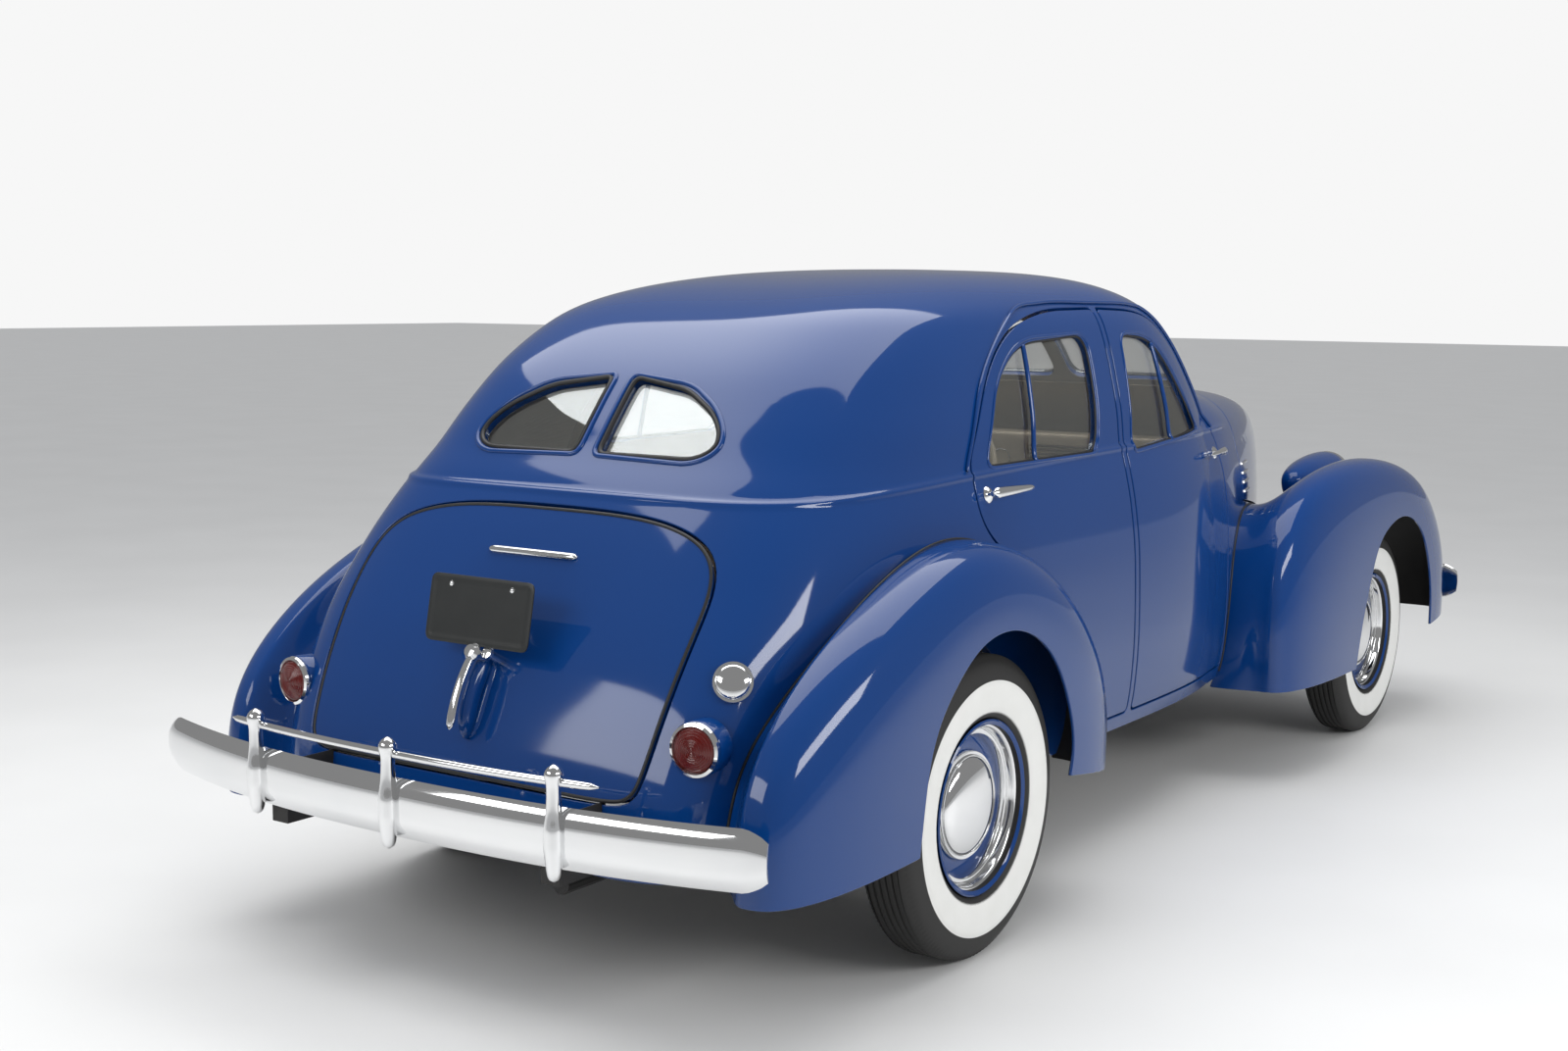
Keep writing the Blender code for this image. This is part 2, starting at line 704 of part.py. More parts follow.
class Body:
    """The skin of the car as shells, from which panels and panes are cut."""

    def __init__(self):
        outer = body_grid()
        normal = grid_normals(outer, True)
        facing = np.sum(normal * (outer - np.array([0, WIDEST_Y, outer[..., 2].mean()])), axis=-1).mean()
        self.normal = normal if facing > 0 else -normal
        self.outer = outer

    def shell(self, name, setback, thickness, finish):
        """Shell of the skin between two depths below it."""
        outer = self.outer - setback * self.normal
        inner = self.outer - (setback + thickness) * self.normal
        return closed_ring_shell(name, outer, inner, finish)


def make_doors(shell, panes):
    """Four doors with their glass, and their holes in the shell."""
    reach, half_gap = BODY_HALF + OVERRUN, RUNNING_GAP / 2
    kinds = (
        ("rear_door", REAR_DOOR_SHARES, REAR_LIGHT_SHARES, DOOR_HINGE_OFFSET),
        ("front_door", FRONT_DOOR_SHARES, FRONT_LIGHT_SHARES, -DOOR_HINGE_OFFSET),
    )
    cutters = []
    for kind, door_shares, light_shares, hinge_offset in kinds:
        outline = side_outline(door_shares)
        light = rounded(side_outline(light_shares))
        for side, sign in SIDES:
            door = copy_of(shell, f"{kind}_{side}")
            edge = prism("door_edge", offset_outline(outline, -half_gap), "X", 0, sign * reach)
            boolean(door, edge, "INTERSECT")
            boolean(door, prism("door_light", light, "X", 0, sign * reach), "DIFFERENCE")
            pane = copy_of(panes, f"{kind}_{side}_glass")
            boolean(pane, prism("pane_edge", offset_outline(light, -GAP), "X", 0, sign * reach), "INTERSECT")
            cutters.append(prism("door_hole", offset_outline(outline, half_gap), "X", 0, sign * reach))
            tidy(door)
            tidy(pane)
            place_origin(door, (sign * DOOR_HINGE_X, PILLAR_Y + hinge_offset, SHOULDER_Z))
    for cutter in cutters:
        boolean(shell, cutter, "DIFFERENCE")


def make_lid(body, shell):
    """Trunk lid: an outer panel with a stepped-in inner frame, and its hole in the shell."""
    outline = rounded(cross_outline(LID_SHARES, True))
    half_gap = RUNNING_GAP / 2
    lid = body.shell("trunk_lid", 0, SHEET, paint())
    inner = body.shell("lid_frame", SHEET - GAP, WALL - SHEET, paint())
    far = REAR_AXLE_Y, REAR_AXLE_Y + CAR_LENGTH
    boolean(lid, prism("lid_edge", offset_outline(outline, -half_gap), "Y", *far), "INTERSECT")
    boolean(inner, prism("frame_edge", offset_outline(outline, -half_gap - LID_STEP), "Y", *far), "INTERSECT")
    fuse(lid, inner)
    boolean(shell, prism("lid_hole", offset_outline(outline, half_gap), "Y", *far), "DIFFERENCE")
    tidy(lid)
    place_origin(lid, (0, LID_HINGE_Y, LID_HINGE_Z))


def make_windows(shell, panes):
    """Split rear window and two-pane windscreen, and their holes in the shell."""
    kinds = (
        ("rear_window", BACKLIGHT_SHARES, WIDEST_Y + OVERRUN, CAR_LENGTH),
        ("windscreen", SCREEN_LIGHT_SHARES, -CAR_LENGTH, 0),
    )
    for side, sign in SIDES:
        for kind, shares, low, high in kinds:
            light = [(sign * x, z) for x, z in rounded(cross_outline(shares, False))]
            pane = copy_of(panes, f"{kind}_{side}")
            boolean(pane, prism("pane_edge", offset_outline(light, -GAP), "Y", low, high), "INTERSECT")
            boolean(shell, prism("pane_hole", light, "Y", low, high), "DIFFERENCE")
            tidy(pane)


def hood_arc(clearance):
    """Front edge of the hood in side view: an arc about its hinge, so that it swings past the nose."""
    radius = HOOD_HINGE_Y - NOSE_Y + clearance
    heights = np.linspace(HOOD_EDGE_Z - HOOD_EDGE_DROP, HOOD_HINGE_Z, HOOD_ARC_POINTS)
    return [(HOOD_HINGE_Y - math.sqrt(radius**2 - (z - HOOD_HINGE_Z) ** 2), z) for z in heights]


def make_front(body, shell):
    """Hood, nose and the two panels that stand under the hood's sides."""
    reach, half_gap, far = BODY_HALF + OVERRUN, RUNNING_GAP / 2, CAR_LENGTH
    arc, back = hood_arc(-half_gap), FIREWALL_Y - RUNNING_GAP
    hood_box = arc + [(arc[-1][0], HEIGHT), (back, HEIGHT), (back, HOOD_EDGE_Z)]
    hood = copy_of(shell, "hood")
    boolean(hood, prism("hood_edge", hood_box, "X", -reach, reach), "INTERSECT")
    tidy(hood)
    place_origin(hood, (0, HOOD_HINGE_Y, HOOD_HINGE_Z))
    arc = hood_arc(half_gap)
    nose = copy_of(shell, "nose")
    nose_box = [(-far, NOSE_BOTTOM), (arc[0][0], NOSE_BOTTOM)] + arc + [(arc[-1][0], HEIGHT), (-far, HEIGHT)]
    boolean(nose, prism("nose_edge", nose_box, "X", -reach, reach), "INTERSECT")
    tidy(nose)
    skin = body.shell("skin", 0, SHEET, paint())
    low = FRONT_ARCH_Z + RAIL_HALF_HEIGHT + RUNNING_GAP
    front, top = arc[0][0] + GAP, HOOD_EDGE_Z - RUNNING_GAP
    outline = [(front, top - HOOD_EDGE_DROP), (FIREWALL_Y - GAP, top), (FIREWALL_Y - GAP, low), (front, low)]
    for side, sign in SIDES:
        panel = copy_of(skin, f"hood_side_{side}")
        boolean(panel, prism("panel_edge", outline, "X", 0, sign * reach), "INTERSECT")
        tidy(panel)
    bpy.data.objects.remove(skin, do_unlink=True)
    ahead = [(-far, 0), (FIREWALL_Y, 0), (FIREWALL_Y, far), (-far, far)]
    boolean(shell, prism("front_cut", ahead, "X", -reach, reach), "DIFFERENCE")


def make_body(body):
    """Body shell with everything cut from it, opened for the rear tyres and the frame's tail."""
    shell = body.shell("body_shell", 0, WALL, paint())
    panes = body.shell("panes", GLASS_SETBACK, GLASS, glass())
    make_doors(shell, panes)
    make_lid(body, shell)
    make_windows(shell, panes)
    bpy.data.objects.remove(panes, do_unlink=True)
    tidy(shell)
    make_front(body, shell)
    for _, sign in SIDES:
        well = wheel_well(sign, WELL_INNER_X - WALL, WELL_RADIUS + FLOOR_THICKNESS + GAP)
        boolean(shell, well, "DIFFERENCE")
    half = RAIL_X + RAIL_HALF_WIDTH + RUNNING_GAP
    top = TAIL_RAIL_Z + RAIL_HALF_HEIGHT + RUNNING_GAP
    notch = box("rail_notch", (-half, REAR_AXLE_Y, 0), (half, CAR_LENGTH, top), rubber())
    boolean(shell, notch, "DIFFERENCE")
    tidy(shell)


def wheel_well(sign, inner_x, radius):
    """Cutter for the room a rear tyre takes inside the body."""
    profile = [(0, 0), (radius, 0), (radius, BODY_HALF), (0, BODY_HALF)]
    made = turned("well", profile, TYRE_SEGMENTS, rubber())
    start = inner_x if sign > 0 else -inner_x - BODY_HALF
    made.data.transform(Matrix.Translation((start, REAR_AXLE_Y, AXLE_Z)))
    made.hide_render = True
    made.display_type = "WIRE"
    return made


def body_filler(body, setback):
    """Solid that fills the body's skin less a setback, to trim what stands against it."""
    inner = body.outer - setback * body.normal
    foot = inner[:1].copy()
    foot[..., 2] -= OVERRUN
    return loft("filler", np.concatenate([foot, inner]), rubber())


def make_floor(body):
    """Stepped floor with firewall, heel board, trunk floor, tunnel and rear wheel houses."""
    t = FLOOR_THICKNESS
    lid_side = LID_WIDEST_SHARE * BODY_HALF
    front = FIREWALL_Y + SEAM_GAP
    tail = tail_skin(lid_side, TRUNK_FLOOR_Z + t) - WALL - RUNNING_GAP
    high = SHOULDER_Z + OVERRUN
    path = [
        (front, high), (front, FLOOR_Z), (HEEL_Y, FLOOR_Z), (HEEL_Y, TRUNK_FLOOR_Z),
        (tail, TRUNK_FLOOR_Z),
    ]
    path += [(tail, TRUNK_FLOOR_Z + t), (HEEL_Y - t, TRUNK_FLOOR_Z + t), (HEEL_Y - t, FLOOR_Z + t)]
    path += [(front + t, FLOOR_Z + t), (front + t, high)]
    rings = [[(x, a, b) for a, b in path] for x in (-BODY_HALF, BODY_HALF)]
    floor = loft("floor_pan", rings, black_steel())
    for _, sign in SIDES:
        fuse(floor, wheel_well(sign, WELL_INNER_X - t, WELL_RADIUS + t))
    half, top = TUNNEL_HALF_WIDTH, FLOOR_Z + TUNNEL_HEIGHT
    hump = (-half - t, front + GAP, FLOOR_Z + GAP), (half + t, HEEL_Y - GAP, top + t)
    fuse(floor, box("tunnel", *hump, black_steel()))
    room = (-half, front - OVERRUN, 0), (half, HEEL_Y + OVERRUN, top)
    boolean(floor, box("tunnel_room", *room, rubber()), "DIFFERENCE")
    boolean(floor, body_filler(body, WALL + 3 * GAP), "INTERSECT")
    for _, sign in SIDES:
        boolean(floor, wheel_well(sign, WELL_INNER_X, WELL_RADIUS), "DIFFERENCE")
        low, high = sorted((sign * (WELL_INNER_X - 2 * t), sign * CAR_LENGTH))
        foot = (low, HEEL_Y + GAP, 0), (high, REAR_AXLE_Y + CAR_LENGTH, AXLE_Z + WELL_RADIUS / 2)
        boolean(floor, box("well_foot", *foot, rubber()), "DIFFERENCE")
    tidy(floor)


def resampled(points, count):
    """Points spread evenly by length along a smooth curve through the given ones."""
    points = np.asarray(points, float)
    run = np.concatenate([[0], np.cumsum(np.linalg.norm(np.diff(points, axis=0), axis=1))])
    fine = np.linspace(0, run[-1], CURVE_STEPS)
    columns = range(points.shape[1])
    dense = np.stack([curve(np.stack([run, points[:, k]], axis=1), fine) for k in columns], axis=1)
    length = np.concatenate([[0], np.cumsum(np.linalg.norm(np.diff(dense, axis=0), axis=1))])
    even = np.linspace(0, length[-1], count)
    return np.stack([np.interp(even, length, dense[:, k]) for k in columns], axis=1)


def fender_points(axle_y, tables, crown_x, lip_x):
    """Grid of a left fender: a catwalk from the seam out to the crown, then a squared quarter ellipse."""
    curves = []
    for shares in tables:
        placed = [(axle_y + a * TYRE_RADIUS, AXLE_Z + b * TYRE_RADIUS) for a, b in shares]
        curves.append(resampled(placed, FENDER_STATIONS))
    seam, crown, lip = curves
    inner_x = side_half(seam[:, 0], seam[:, 1]) - FENDER_FLANGE
    across = np.linspace(0, 1, WALK_ROWS)[:-1, None]
    rise = across**3 * (4 - 3 * across)
    walk_x = inner_x + (crown_x - inner_x) * across
    walk = [seam[:, k] + (crown[:, k] - seam[:, k]) * rise for k in (0, 1)]
    turn = np.linspace(0, math.pi / 2, FLANK_ROWS)[:, None]
    outward = np.sin(turn) ** (2 / FENDER_SQUARE_SHARE)
    upward = np.cos(turn) ** (2 / FENDER_SQUARE_SHARE)
    flank_x = crown_x + (lip_x - crown_x) * outward + 0 * seam[:, 0]
    flank = [lip[:, k] + (crown[:, k] - lip[:, k]) * upward for k in (0, 1)]
    x = np.concatenate([walk_x, flank_x])
    y, z = (np.concatenate([walk[k], flank[k]]) for k in (0, 1))
    points = np.stack([x, y, z], axis=-1)
    upright = grid_normals(points, False)[..., 2].mean() > 0
    return points if upright else points[:, ::-1]


def make_fenders(body):
    """Four fenders trimmed to the body, and the headlamp pods that stand on the front pair."""
    rear_tables = (REAR_SEAM_SHARES, REAR_CROWN_SHARES, REAR_LIP_SHARES)
    front_tables = (FRONT_SEAM_SHARES, FRONT_CROWN_SHARES, FRONT_LIP_SHARES)
    ends = (
        ("rear", REAR_AXLE_Y, rear_tables, REAR_CROWN_X, REAR_LIP_X),
        ("front", FRONT_AXLE_Y, front_tables, FRONT_CROWN_X, FRONT_LIP_X),
    )
    for end, axle_y, tables, crown_x, lip_x in ends:
        skin = fender_points(axle_y, tables, crown_x, lip_x)
        left = sheet(f"{end}_fender_left", skin, skin - SHEET * grid_normals(skin, False), paint())
        for fender in (left, mirrored(left, f"{end}_fender_right")):
            boolean(fender, body_filler(body, -GAP), "DIFFERENCE")
            tidy(fender)
    mirrored(make_headlamp("headlamp_left", skin), "headlamp_right")


def room_above(fender_skin, y, reach, height):
    """Cutter for what stands on a fender: the room straight above its catwalk near a place."""
    near = np.abs(fender_skin[..., 1].mean(axis=0) - y) < reach
    low = fender_skin[: WALK_ROWS + 1, near] + 3 * GAP * np.array([0, 0, 1])
    high = low + height * np.array([0, 0, 1])
    return sheet("room_above", high, low, rubber())


def mirrored(obj, name):
    """Copy of an object on the other side of the car."""
    made = copy_of(obj, name)
    made.data.transform(Matrix.Scale(-1, 4, Vector((1, 0, 0))))
    made.data.flip_normals()
    return made


def make_headlamp(name, fender_skin):
    """Headlamp pod: an egg whose lower half is drawn down onto the fender."""
    r, d = HEADLAMP_RADIUS, HEADLAMP_LENGTH
    profile = [
        (0, -0.20 * d), (0.6 * r, -0.17 * d), (0.95 * r, -0.06 * d), (r, 0.05 * d), (0.93 * r, 0.30 * d),
        (0.74 * r, 0.55 * d), (0.42 * r, 0.74 * d), (0, 0.80 * d),
    ]
    pod = turned(name, profile, WHEEL_SEGMENTS, paint(), "Y")
    for vertex in pod.data.vertices:
        if vertex.co.z < 0:
            vertex.co.z *= POD_DROP_SHARE
    pod.data.transform(Matrix.Translation((HEADLAMP_X, HEADLAMP_Y, HEADLAMP_Z)))
    boolean(pod, room_above(fender_skin, HEADLAMP_Y, HEADLAMP_LENGTH, HEIGHT), "INTERSECT")
    tidy(pod)
    return pod


def tail_skin(x, z):
    """Place along the car of the tail's skin at a place across it and a height."""
    share = z / HEIGHT
    half = BODY_HALF * float(curve(WIDTH_SHARES, share))
    square = float(curve(SQUARE_SHARES, share))
    reach = TAIL_REACH * float(curve(TAIL_SHARES, share))
    return WIDEST_Y + reach * (1 - (abs(x) / half) ** square) ** (1 / square)


def make_tail_lamp(body, side, sign):
    """Tail lamp standing out of the body's rear corner beside the fender."""
    r, d = TAIL_LAMP_RADIUS, TAIL_LAMP_DEPTH
    profile = [(0, d), (0.5 * r, 0.94 * d), (0.84 * r, 0.75 * d), (r, 0.6 * d), (r, -1.3 * d), (0, -1.3 * d)]
    x = TAIL_LAMP_SHARE * BODY_HALF
    y = tail_skin(x, TAIL_LAMP_Z)
    lamp = turned(f"tail_lamp_{side}", profile, 24, red_lens(), "Y")
    lamp.data.transform(Matrix.Translation((sign * x, y, TAIL_LAMP_Z)))
    boolean(lamp, body_filler(body, -GAP), "DIFFERENCE")
    keep_largest(lamp)
    tidy(lamp)


def keep_largest(obj):
    """Drop every loose scrap but the largest after a trim."""
    work = bmesh.new()
    work.from_mesh(obj.data)
    work.verts.ensure_lookup_table()
    left = set(work.verts)
    groups = []
    while left:
        seed = left.pop()
        group, edge = {seed}, [seed]
        while edge:
            vertex = edge.pop()
            for link in vertex.link_edges:
                other = link.other_vert(vertex)
                if other in left:
                    left.remove(other)
                    group.add(other)
                    edge.append(other)
        groups.append(group)
    groups.sort(key=len)
    scraps = [vertex for group in groups[:-1] for vertex in group]
    bmesh.ops.delete(work, geom=scraps, context="VERTS")
    work.to_mesh(obj.data)
    work.free()


def make_tyre(name, axle, x):
    """Tyre as a closed ring with rounded shoulders and bulged sidewalls."""
    w, r, rim = TYRE_HALF_WIDTH, TYRE_RADIUS, RIM_RADIUS
    depth = r - rim
    half = [
        (rim, 0.72 * w), (rim + 0.22 * depth, 0.94 * w), (rim + 0.50 * depth, w),
        (rim + 0.80 * depth, 0.88 * w), (r, 0.58 * w),
    ]
    profile = half + [(a, -b) for a, b in reversed(half)]
    tyre = turned(name, profile, TYRE_SEGMENTS, rubber(), smooth_angle=50)
    tyre.location = (x, axle, AXLE_Z)


def make_wheel(name, axle, x, sign):
    """Steel wheel: rim, dished disc, hub with a blind bore, and a domed hubcap."""
    w, cap, t = TYRE_HALF_WIDTH, HUBCAP_RADIUS, SHEET
    rim = RIM_RADIUS * math.cos(math.pi / TYRE_SEGMENTS) - GAP
    bore = (SPINDLE_RADIUS + GAP) / math.cos(math.pi / WHEEL_SEGMENTS)
    profile = [
        (0, 0.68 * w), (0.5 * cap, 0.64 * w), (0.85 * cap, 0.46 * w), (cap, 0.22 * w), (1.18 * cap, 0.16 * w),
        (rim - 2.5 * t, 0.30 * w), (rim - 1.6 * t, 0.80 * w), (rim, 0.84 * w), (rim, -0.84 * w),
        (rim - t, -0.84 * w), (rim - 2.5 * t, 0.05 * w), (1.18 * cap, -0.02 * w), (0.62 * cap, -0.04 * w),
        (0.45 * cap, -0.30 * w), (bore, -0.30 * w), (bore, 0.20 * w), (0, 0.20 * w),
    ]
    wheel = turned(name, [(a, sign * b) for a, b in profile], WHEEL_SEGMENTS, paint(), smooth_angle=30)
    wheel.location = (x, axle, AXLE_Z)


def make_wheels():
    """Four tyres and wheels on their axles."""
    ends = ("front", FRONT_AXLE_Y, FRONT_TRACK_HALF), ("rear", REAR_AXLE_Y, REAR_TRACK_HALF)
    for end, axle_y, half_track in ends:
        for side, sign in SIDES:
            make_tyre(f"tyre_{end}_{side}", axle_y, sign * half_track)
            make_wheel(f"wheel_{end}_{side}", axle_y, sign * half_track, sign)


def leaf_spring(x, axle_y, low_z, half_length):
    """Leaf spring as a shallow arc along the car."""
    centres = []
    for share in np.linspace(-1, 1, SPRING_STATIONS):
        rise = SPRING_RISE_SHARE * half_length * share * share
        centres.append((x, axle_y + share * half_length, low_z + rise))
    return beam("spring", centres, RAIL_HALF_WIDTH, SPRING_HALF_HEIGHT, black_steel())


def make_front_axle():
    """Dropped beam axle with its kingpins and leaf springs."""
    steel, y, half = black_steel(), FRONT_AXLE_Y, SPINDLE_RADIUS
    low, high = FRONT_BEAM_Z - half, FRONT_BEAM_Z + half
    axle = box("front_axle", (-KINGPIN_X, y - half, low), (KINGPIN_X, y + half, high), steel)
    for _, sign in SIDES:
        x = sign * KINGPIN_X
        foot, head = (x, y, AXLE_Z - 1.6 * YOKE_Z), (x, y, AXLE_Z + 1.2 * YOKE_Z)
        pin = rod("kingpin", foot, head, KINGPIN_RADIUS, steel)
        boss = rod("boss", (x, y, low), (x, y, high), 2.2 * KINGPIN_RADIUS, steel, 14)
        fuse(axle, boss, pin, leaf_spring(sign * RAIL_X, y, low, FRONT_SPRING_HALF))
    tidy(axle)


def make_knuckle(side, sign):
    """Steering knuckle: two eyes on the kingpin, a web, the spindle and the track-rod arm."""
    x, y = sign * KINGPIN_X, FRONT_AXLE_Y
    eye = 2.0 * KINGPIN_RADIUS
    upper, lower = AXLE_Z + 0.35 * YOKE_Z, FRONT_BEAM_Z - SPINDLE_RADIUS - RUNNING_GAP
    tall = 0.5 * YOKE_Z
    web, inner = KINGPIN_X + eye + RUNNING_GAP, KINGPIN_X - eye
    back = web + SPINDLE_RADIUS
    fork = [
        (inner, upper), (web, upper), (web, lower), (inner, lower), (inner, lower - tall),
        (back, lower - tall), (back, upper + tall), (inner, upper + tall),
    ]
    faces = [[(sign * a, y + b, c) for a, c in fork] for b in (-eye, eye)]
    knuckle = loft(f"knuckle_{side}", faces, black_steel())
    tip = sign * (FRONT_TRACK_HALF + 0.10 * TYRE_HALF_WIDTH)
    root = (sign * (web + GAP), y, AXLE_Z)
    spindle = rod("spindle", root, (tip, y, AXLE_Z), SPINDLE_RADIUS, black_steel(), 12)
    arm_z = lower - tall / 2
    end = (sign * TRACK_ARM_X, y + TRACK_ARM_BACK, arm_z)
    arm = rod("arm", (x, y + TRACK_ARM_ROOT_SHARE * eye, arm_z), end, TRACK_ARM_RADIUS, black_steel(), 8)
    fuse(knuckle, spindle, arm)
    bore = rod("bore", (x, y, 0), (x, y, 2 * AXLE_Z), KINGPIN_RADIUS + 3 * GAP, rubber())
    boolean(knuckle, bore, "DIFFERENCE")
    tidy(knuckle)
    place_origin(knuckle, (x, y, AXLE_Z))
    return arm_z


def make_track_rod(arm_z):
    """Track rod under the ends of the steering arms."""
    z = arm_z - TRACK_ARM_RADIUS - TRACK_ROD_RADIUS
    y = FRONT_AXLE_Y + TRACK_ARM_BACK
    reach = TRACK_ARM_X + TRACK_ROD_RADIUS
    track = rod("track_rod", (-reach, y, z), (reach, y, z), TRACK_ROD_RADIUS, black_steel())
    place_origin(track, (TRACK_ARM_X, y, z))


def make_rear_axle():
    """Live axle: tubes, differential bulb and leaf springs."""
    steel, y, half = black_steel(), REAR_AXLE_Y, 0.86 * REAR_TRACK_HALF
    end = REAR_TRACK_HALF + 0.10 * TYRE_HALF_WIDTH
    axle = rod("rear_axle", (-half, y, AXLE_Z), (half, y, AXLE_Z), AXLE_TUBE_RADIUS, steel, 14)
    shaft = rod("shaft", (-end, y, AXLE_Z), (end, y, AXLE_Z), SPINDLE_RADIUS, steel, 12)
    turns = np.linspace(BULB_START, math.pi - BULB_START, 5)
    ball = [(BULB_RADIUS * math.sin(a), -BULB_RADIUS * math.cos(a)) for a in turns]
    bulb = turned("bulb", [(0, -BULB_RADIUS)] + ball + [(0, BULB_RADIUS)], 12, steel)
    bulb.data.transform(Matrix.Translation((0, y, AXLE_Z)))
    springs = [leaf_spring(sign * REAR_SPRING_X, y, REAR_SPRING_Z, REAR_SPRING_HALF) for _, sign in SIDES]
    fuse(axle, shaft, bulb, *springs)
    nose = (-BULB_RADIUS, y - 2 * BULB_RADIUS, 0), (BULB_RADIUS, y - PINION_REACH, HEIGHT)
    boolean(axle, box("pinion_face", *nose, rubber()), "DIFFERENCE")
    tidy(axle)


def spring_hangers(x):
    """Brackets of one rail: they meet the ends of the front spring and reach aside to the rear one."""
    steel, half = black_steel(), RAIL_HALF_WIDTH
    made = []
    front_end = FRONT_BEAM_Z - SPINDLE_RADIUS + SPRING_RISE_SHARE * FRONT_SPRING_HALF + SPRING_HALF_HEIGHT
    rear_end = REAR_SPRING_Z + SPRING_RISE_SHARE * REAR_SPRING_HALF
    for turn in (-1, 1):
        y = FRONT_AXLE_Y + turn * (FRONT_SPRING_HALF - half)
        foot, head = (x - half + GAP, y - half, front_end + GAP), (x + half - GAP, y + half, FRONT_ARCH_Z)
        made.append(box("hanger", foot, head, steel))
        y = REAR_AXLE_Y + turn * (REAR_SPRING_HALF - SPRING_HALF_HEIGHT)
        share = REAR_ARCH_SHARES[0] if turn < 0 else REAR_ARCH_SHARES[1]
        top = RAIL_LOW_Z + share * (REAR_ARCH_Z - RAIL_LOW_Z)
        low, high = sorted((rear_end - SPRING_HALF_HEIGHT, top))
        foot, head = (x - half + GAP, y - half / 2, low), (x + half - GAP, y + half / 2, high)
        made.append(box("hanger", foot, head, steel))
        side = math.copysign(1, x)
        inner = side * (REAR_SPRING_X - half - GAP)
        made.append(rod("eye", (x, y, rear_end), (inner, y, rear_end), 0.7 * SPRING_HALF_HEIGHT, steel, 8))
    return made


def make_frame():
    """Ladder frame: two kicked-up rails, spring hangers, cross members and bumper ends."""
    low, end = RAIL_LOW_Z, CAR_LENGTH / 2 - BRACKET_SETBACK
    pieces = []
    for _, sign in SIDES:
        x = sign * RAIL_X
        centres = [
            (x, -end, BUMPER_BLADE_Z), (x, -end + OVERRUN, low), (x, FRONT_AXLE_Y - FRONT_HORN_AHEAD, low),
            (x, FRONT_AXLE_Y - FRONT_ARCH_AHEAD, FRONT_ARCH_Z),
            (x, FRONT_AXLE_Y + FRONT_ARCH_AHEAD, FRONT_ARCH_Z),
            (x, FIREWALL_Y - OVERRUN, low), (x, HEEL_Y + OVERRUN, low),
            (x, REAR_AXLE_Y - REAR_ARCH_AHEAD, REAR_ARCH_Z), (x, REAR_AXLE_Y + REAR_ARCH_BEHIND, REAR_ARCH_Z),
            (x, REAR_AXLE_Y + TAIL_RAIL_BEHIND, TAIL_RAIL_Z), (x, end, TAIL_RAIL_Z),
        ]
        pieces.append(beam("rail", centres, RAIL_HALF_WIDTH, RAIL_HALF_HEIGHT, black_steel()))
        pieces += spring_hangers(x)
    places = (
        (FRONT_AXLE_Y - FRONT_HORN_AHEAD - OVERRUN, low), (GEARBOX_MOUNT_Y, low), (0, low),
        (HEEL_Y - OVERRUN, low), (REAR_AXLE_Y + REAR_ARCH_AHEAD, REAR_ARCH_Z),
        (REAR_AXLE_Y + TAIL_RAIL_BEHIND + 2 * OVERRUN, TAIL_RAIL_Z),
    )
    for y, z in places:
        half, z = MEMBER_HALF, z - RAIL_HALF_HEIGHT + MEMBER_HALF
        corners = (-RAIL_X, y - half, z - half + GAP), (RAIL_X, y + half, z + half)
        pieces.append(box("member", *corners, black_steel()))
    frame = pieces[0]
    frame.name = "chassis_frame"
    fuse(frame, *pieces[1:])
    tidy(frame)


def make_drive_line():
    """Engine as one plain block with its gearbox, propeller shaft, exhaust and fuel tank."""
    steel, half = black_steel(), ENGINE_HALF_WIDTH
    front, back = FIREWALL_Y - ENGINE_LENGTH, FIREWALL_Y - ENGINE_SETBACK
    narrow = 0.7 * half
    block = box("engine", (-half, front, ENGINE_BOTTOM), (half, back, ENGINE_TOP), steel)
    sump_low = RAIL_LOW_Z - RAIL_HALF_HEIGHT / 2
    sump_top = 0.8 * half, back - GAP, ENGINE_BOTTOM + GAP
    sump = (-0.8 * half, front + 0.45 * ENGINE_LENGTH, sump_low), sump_top
    head = (-narrow, front + OVERRUN, ENGINE_TOP - GAP), (narrow, back - OVERRUN, ENGINE_TOP + OVERRUN)
    member_top = RAIL_LOW_Z - RAIL_HALF_HEIGHT + 2 * MEMBER_HALF
    gearbox_top = narrow, GEARBOX_END_Y, FLOOR_Z + 0.7 * TUNNEL_HEIGHT
    gearbox = (-narrow, back - OVERRUN, member_top + GAP), gearbox_top
    fuse(block, box("sump", *sump, steel), box("head", *head, steel), box("gearbox", *gearbox, steel))
    shaft_end = REAR_AXLE_Y - PINION_REACH - GAP
    shaft = (0, GEARBOX_END_Y + GAP, AXLE_Z), (0, shaft_end, AXLE_Z)
    rod("propeller_shaft", *shaft, 0.8 * AXLE_TUBE_RADIUS, steel, 12)
    x, z = -RAIL_X / 2, RAIL_LOW_Z - RAIL_HALF_HEIGHT - EXHAUST_RADIUS
    pipe = rod("exhaust", (x, FIREWALL_Y, z), (x, REAR_AXLE_Y + EXHAUST_BEHIND, z), EXHAUST_RADIUS, steel, 12)
    ends = (x, MUFFLER_Y, z + EXHAUST_RADIUS), (x, MUFFLER_Y + MUFFLER_LENGTH, z + EXHAUST_RADIUS)
    fuse(pipe, rod("muffler", *ends, MUFFLER_RADIUS, steel, 16))
    top, start = TRUNK_FLOOR_Z - GAP, REAR_AXLE_Y + TANK_BEHIND
    tank = (-TANK_HALF_WIDTH, start, top - TANK_HEIGHT), (TANK_HALF_WIDTH, start + TANK_LENGTH, top)
    box("fuel_tank", *tank, steel)


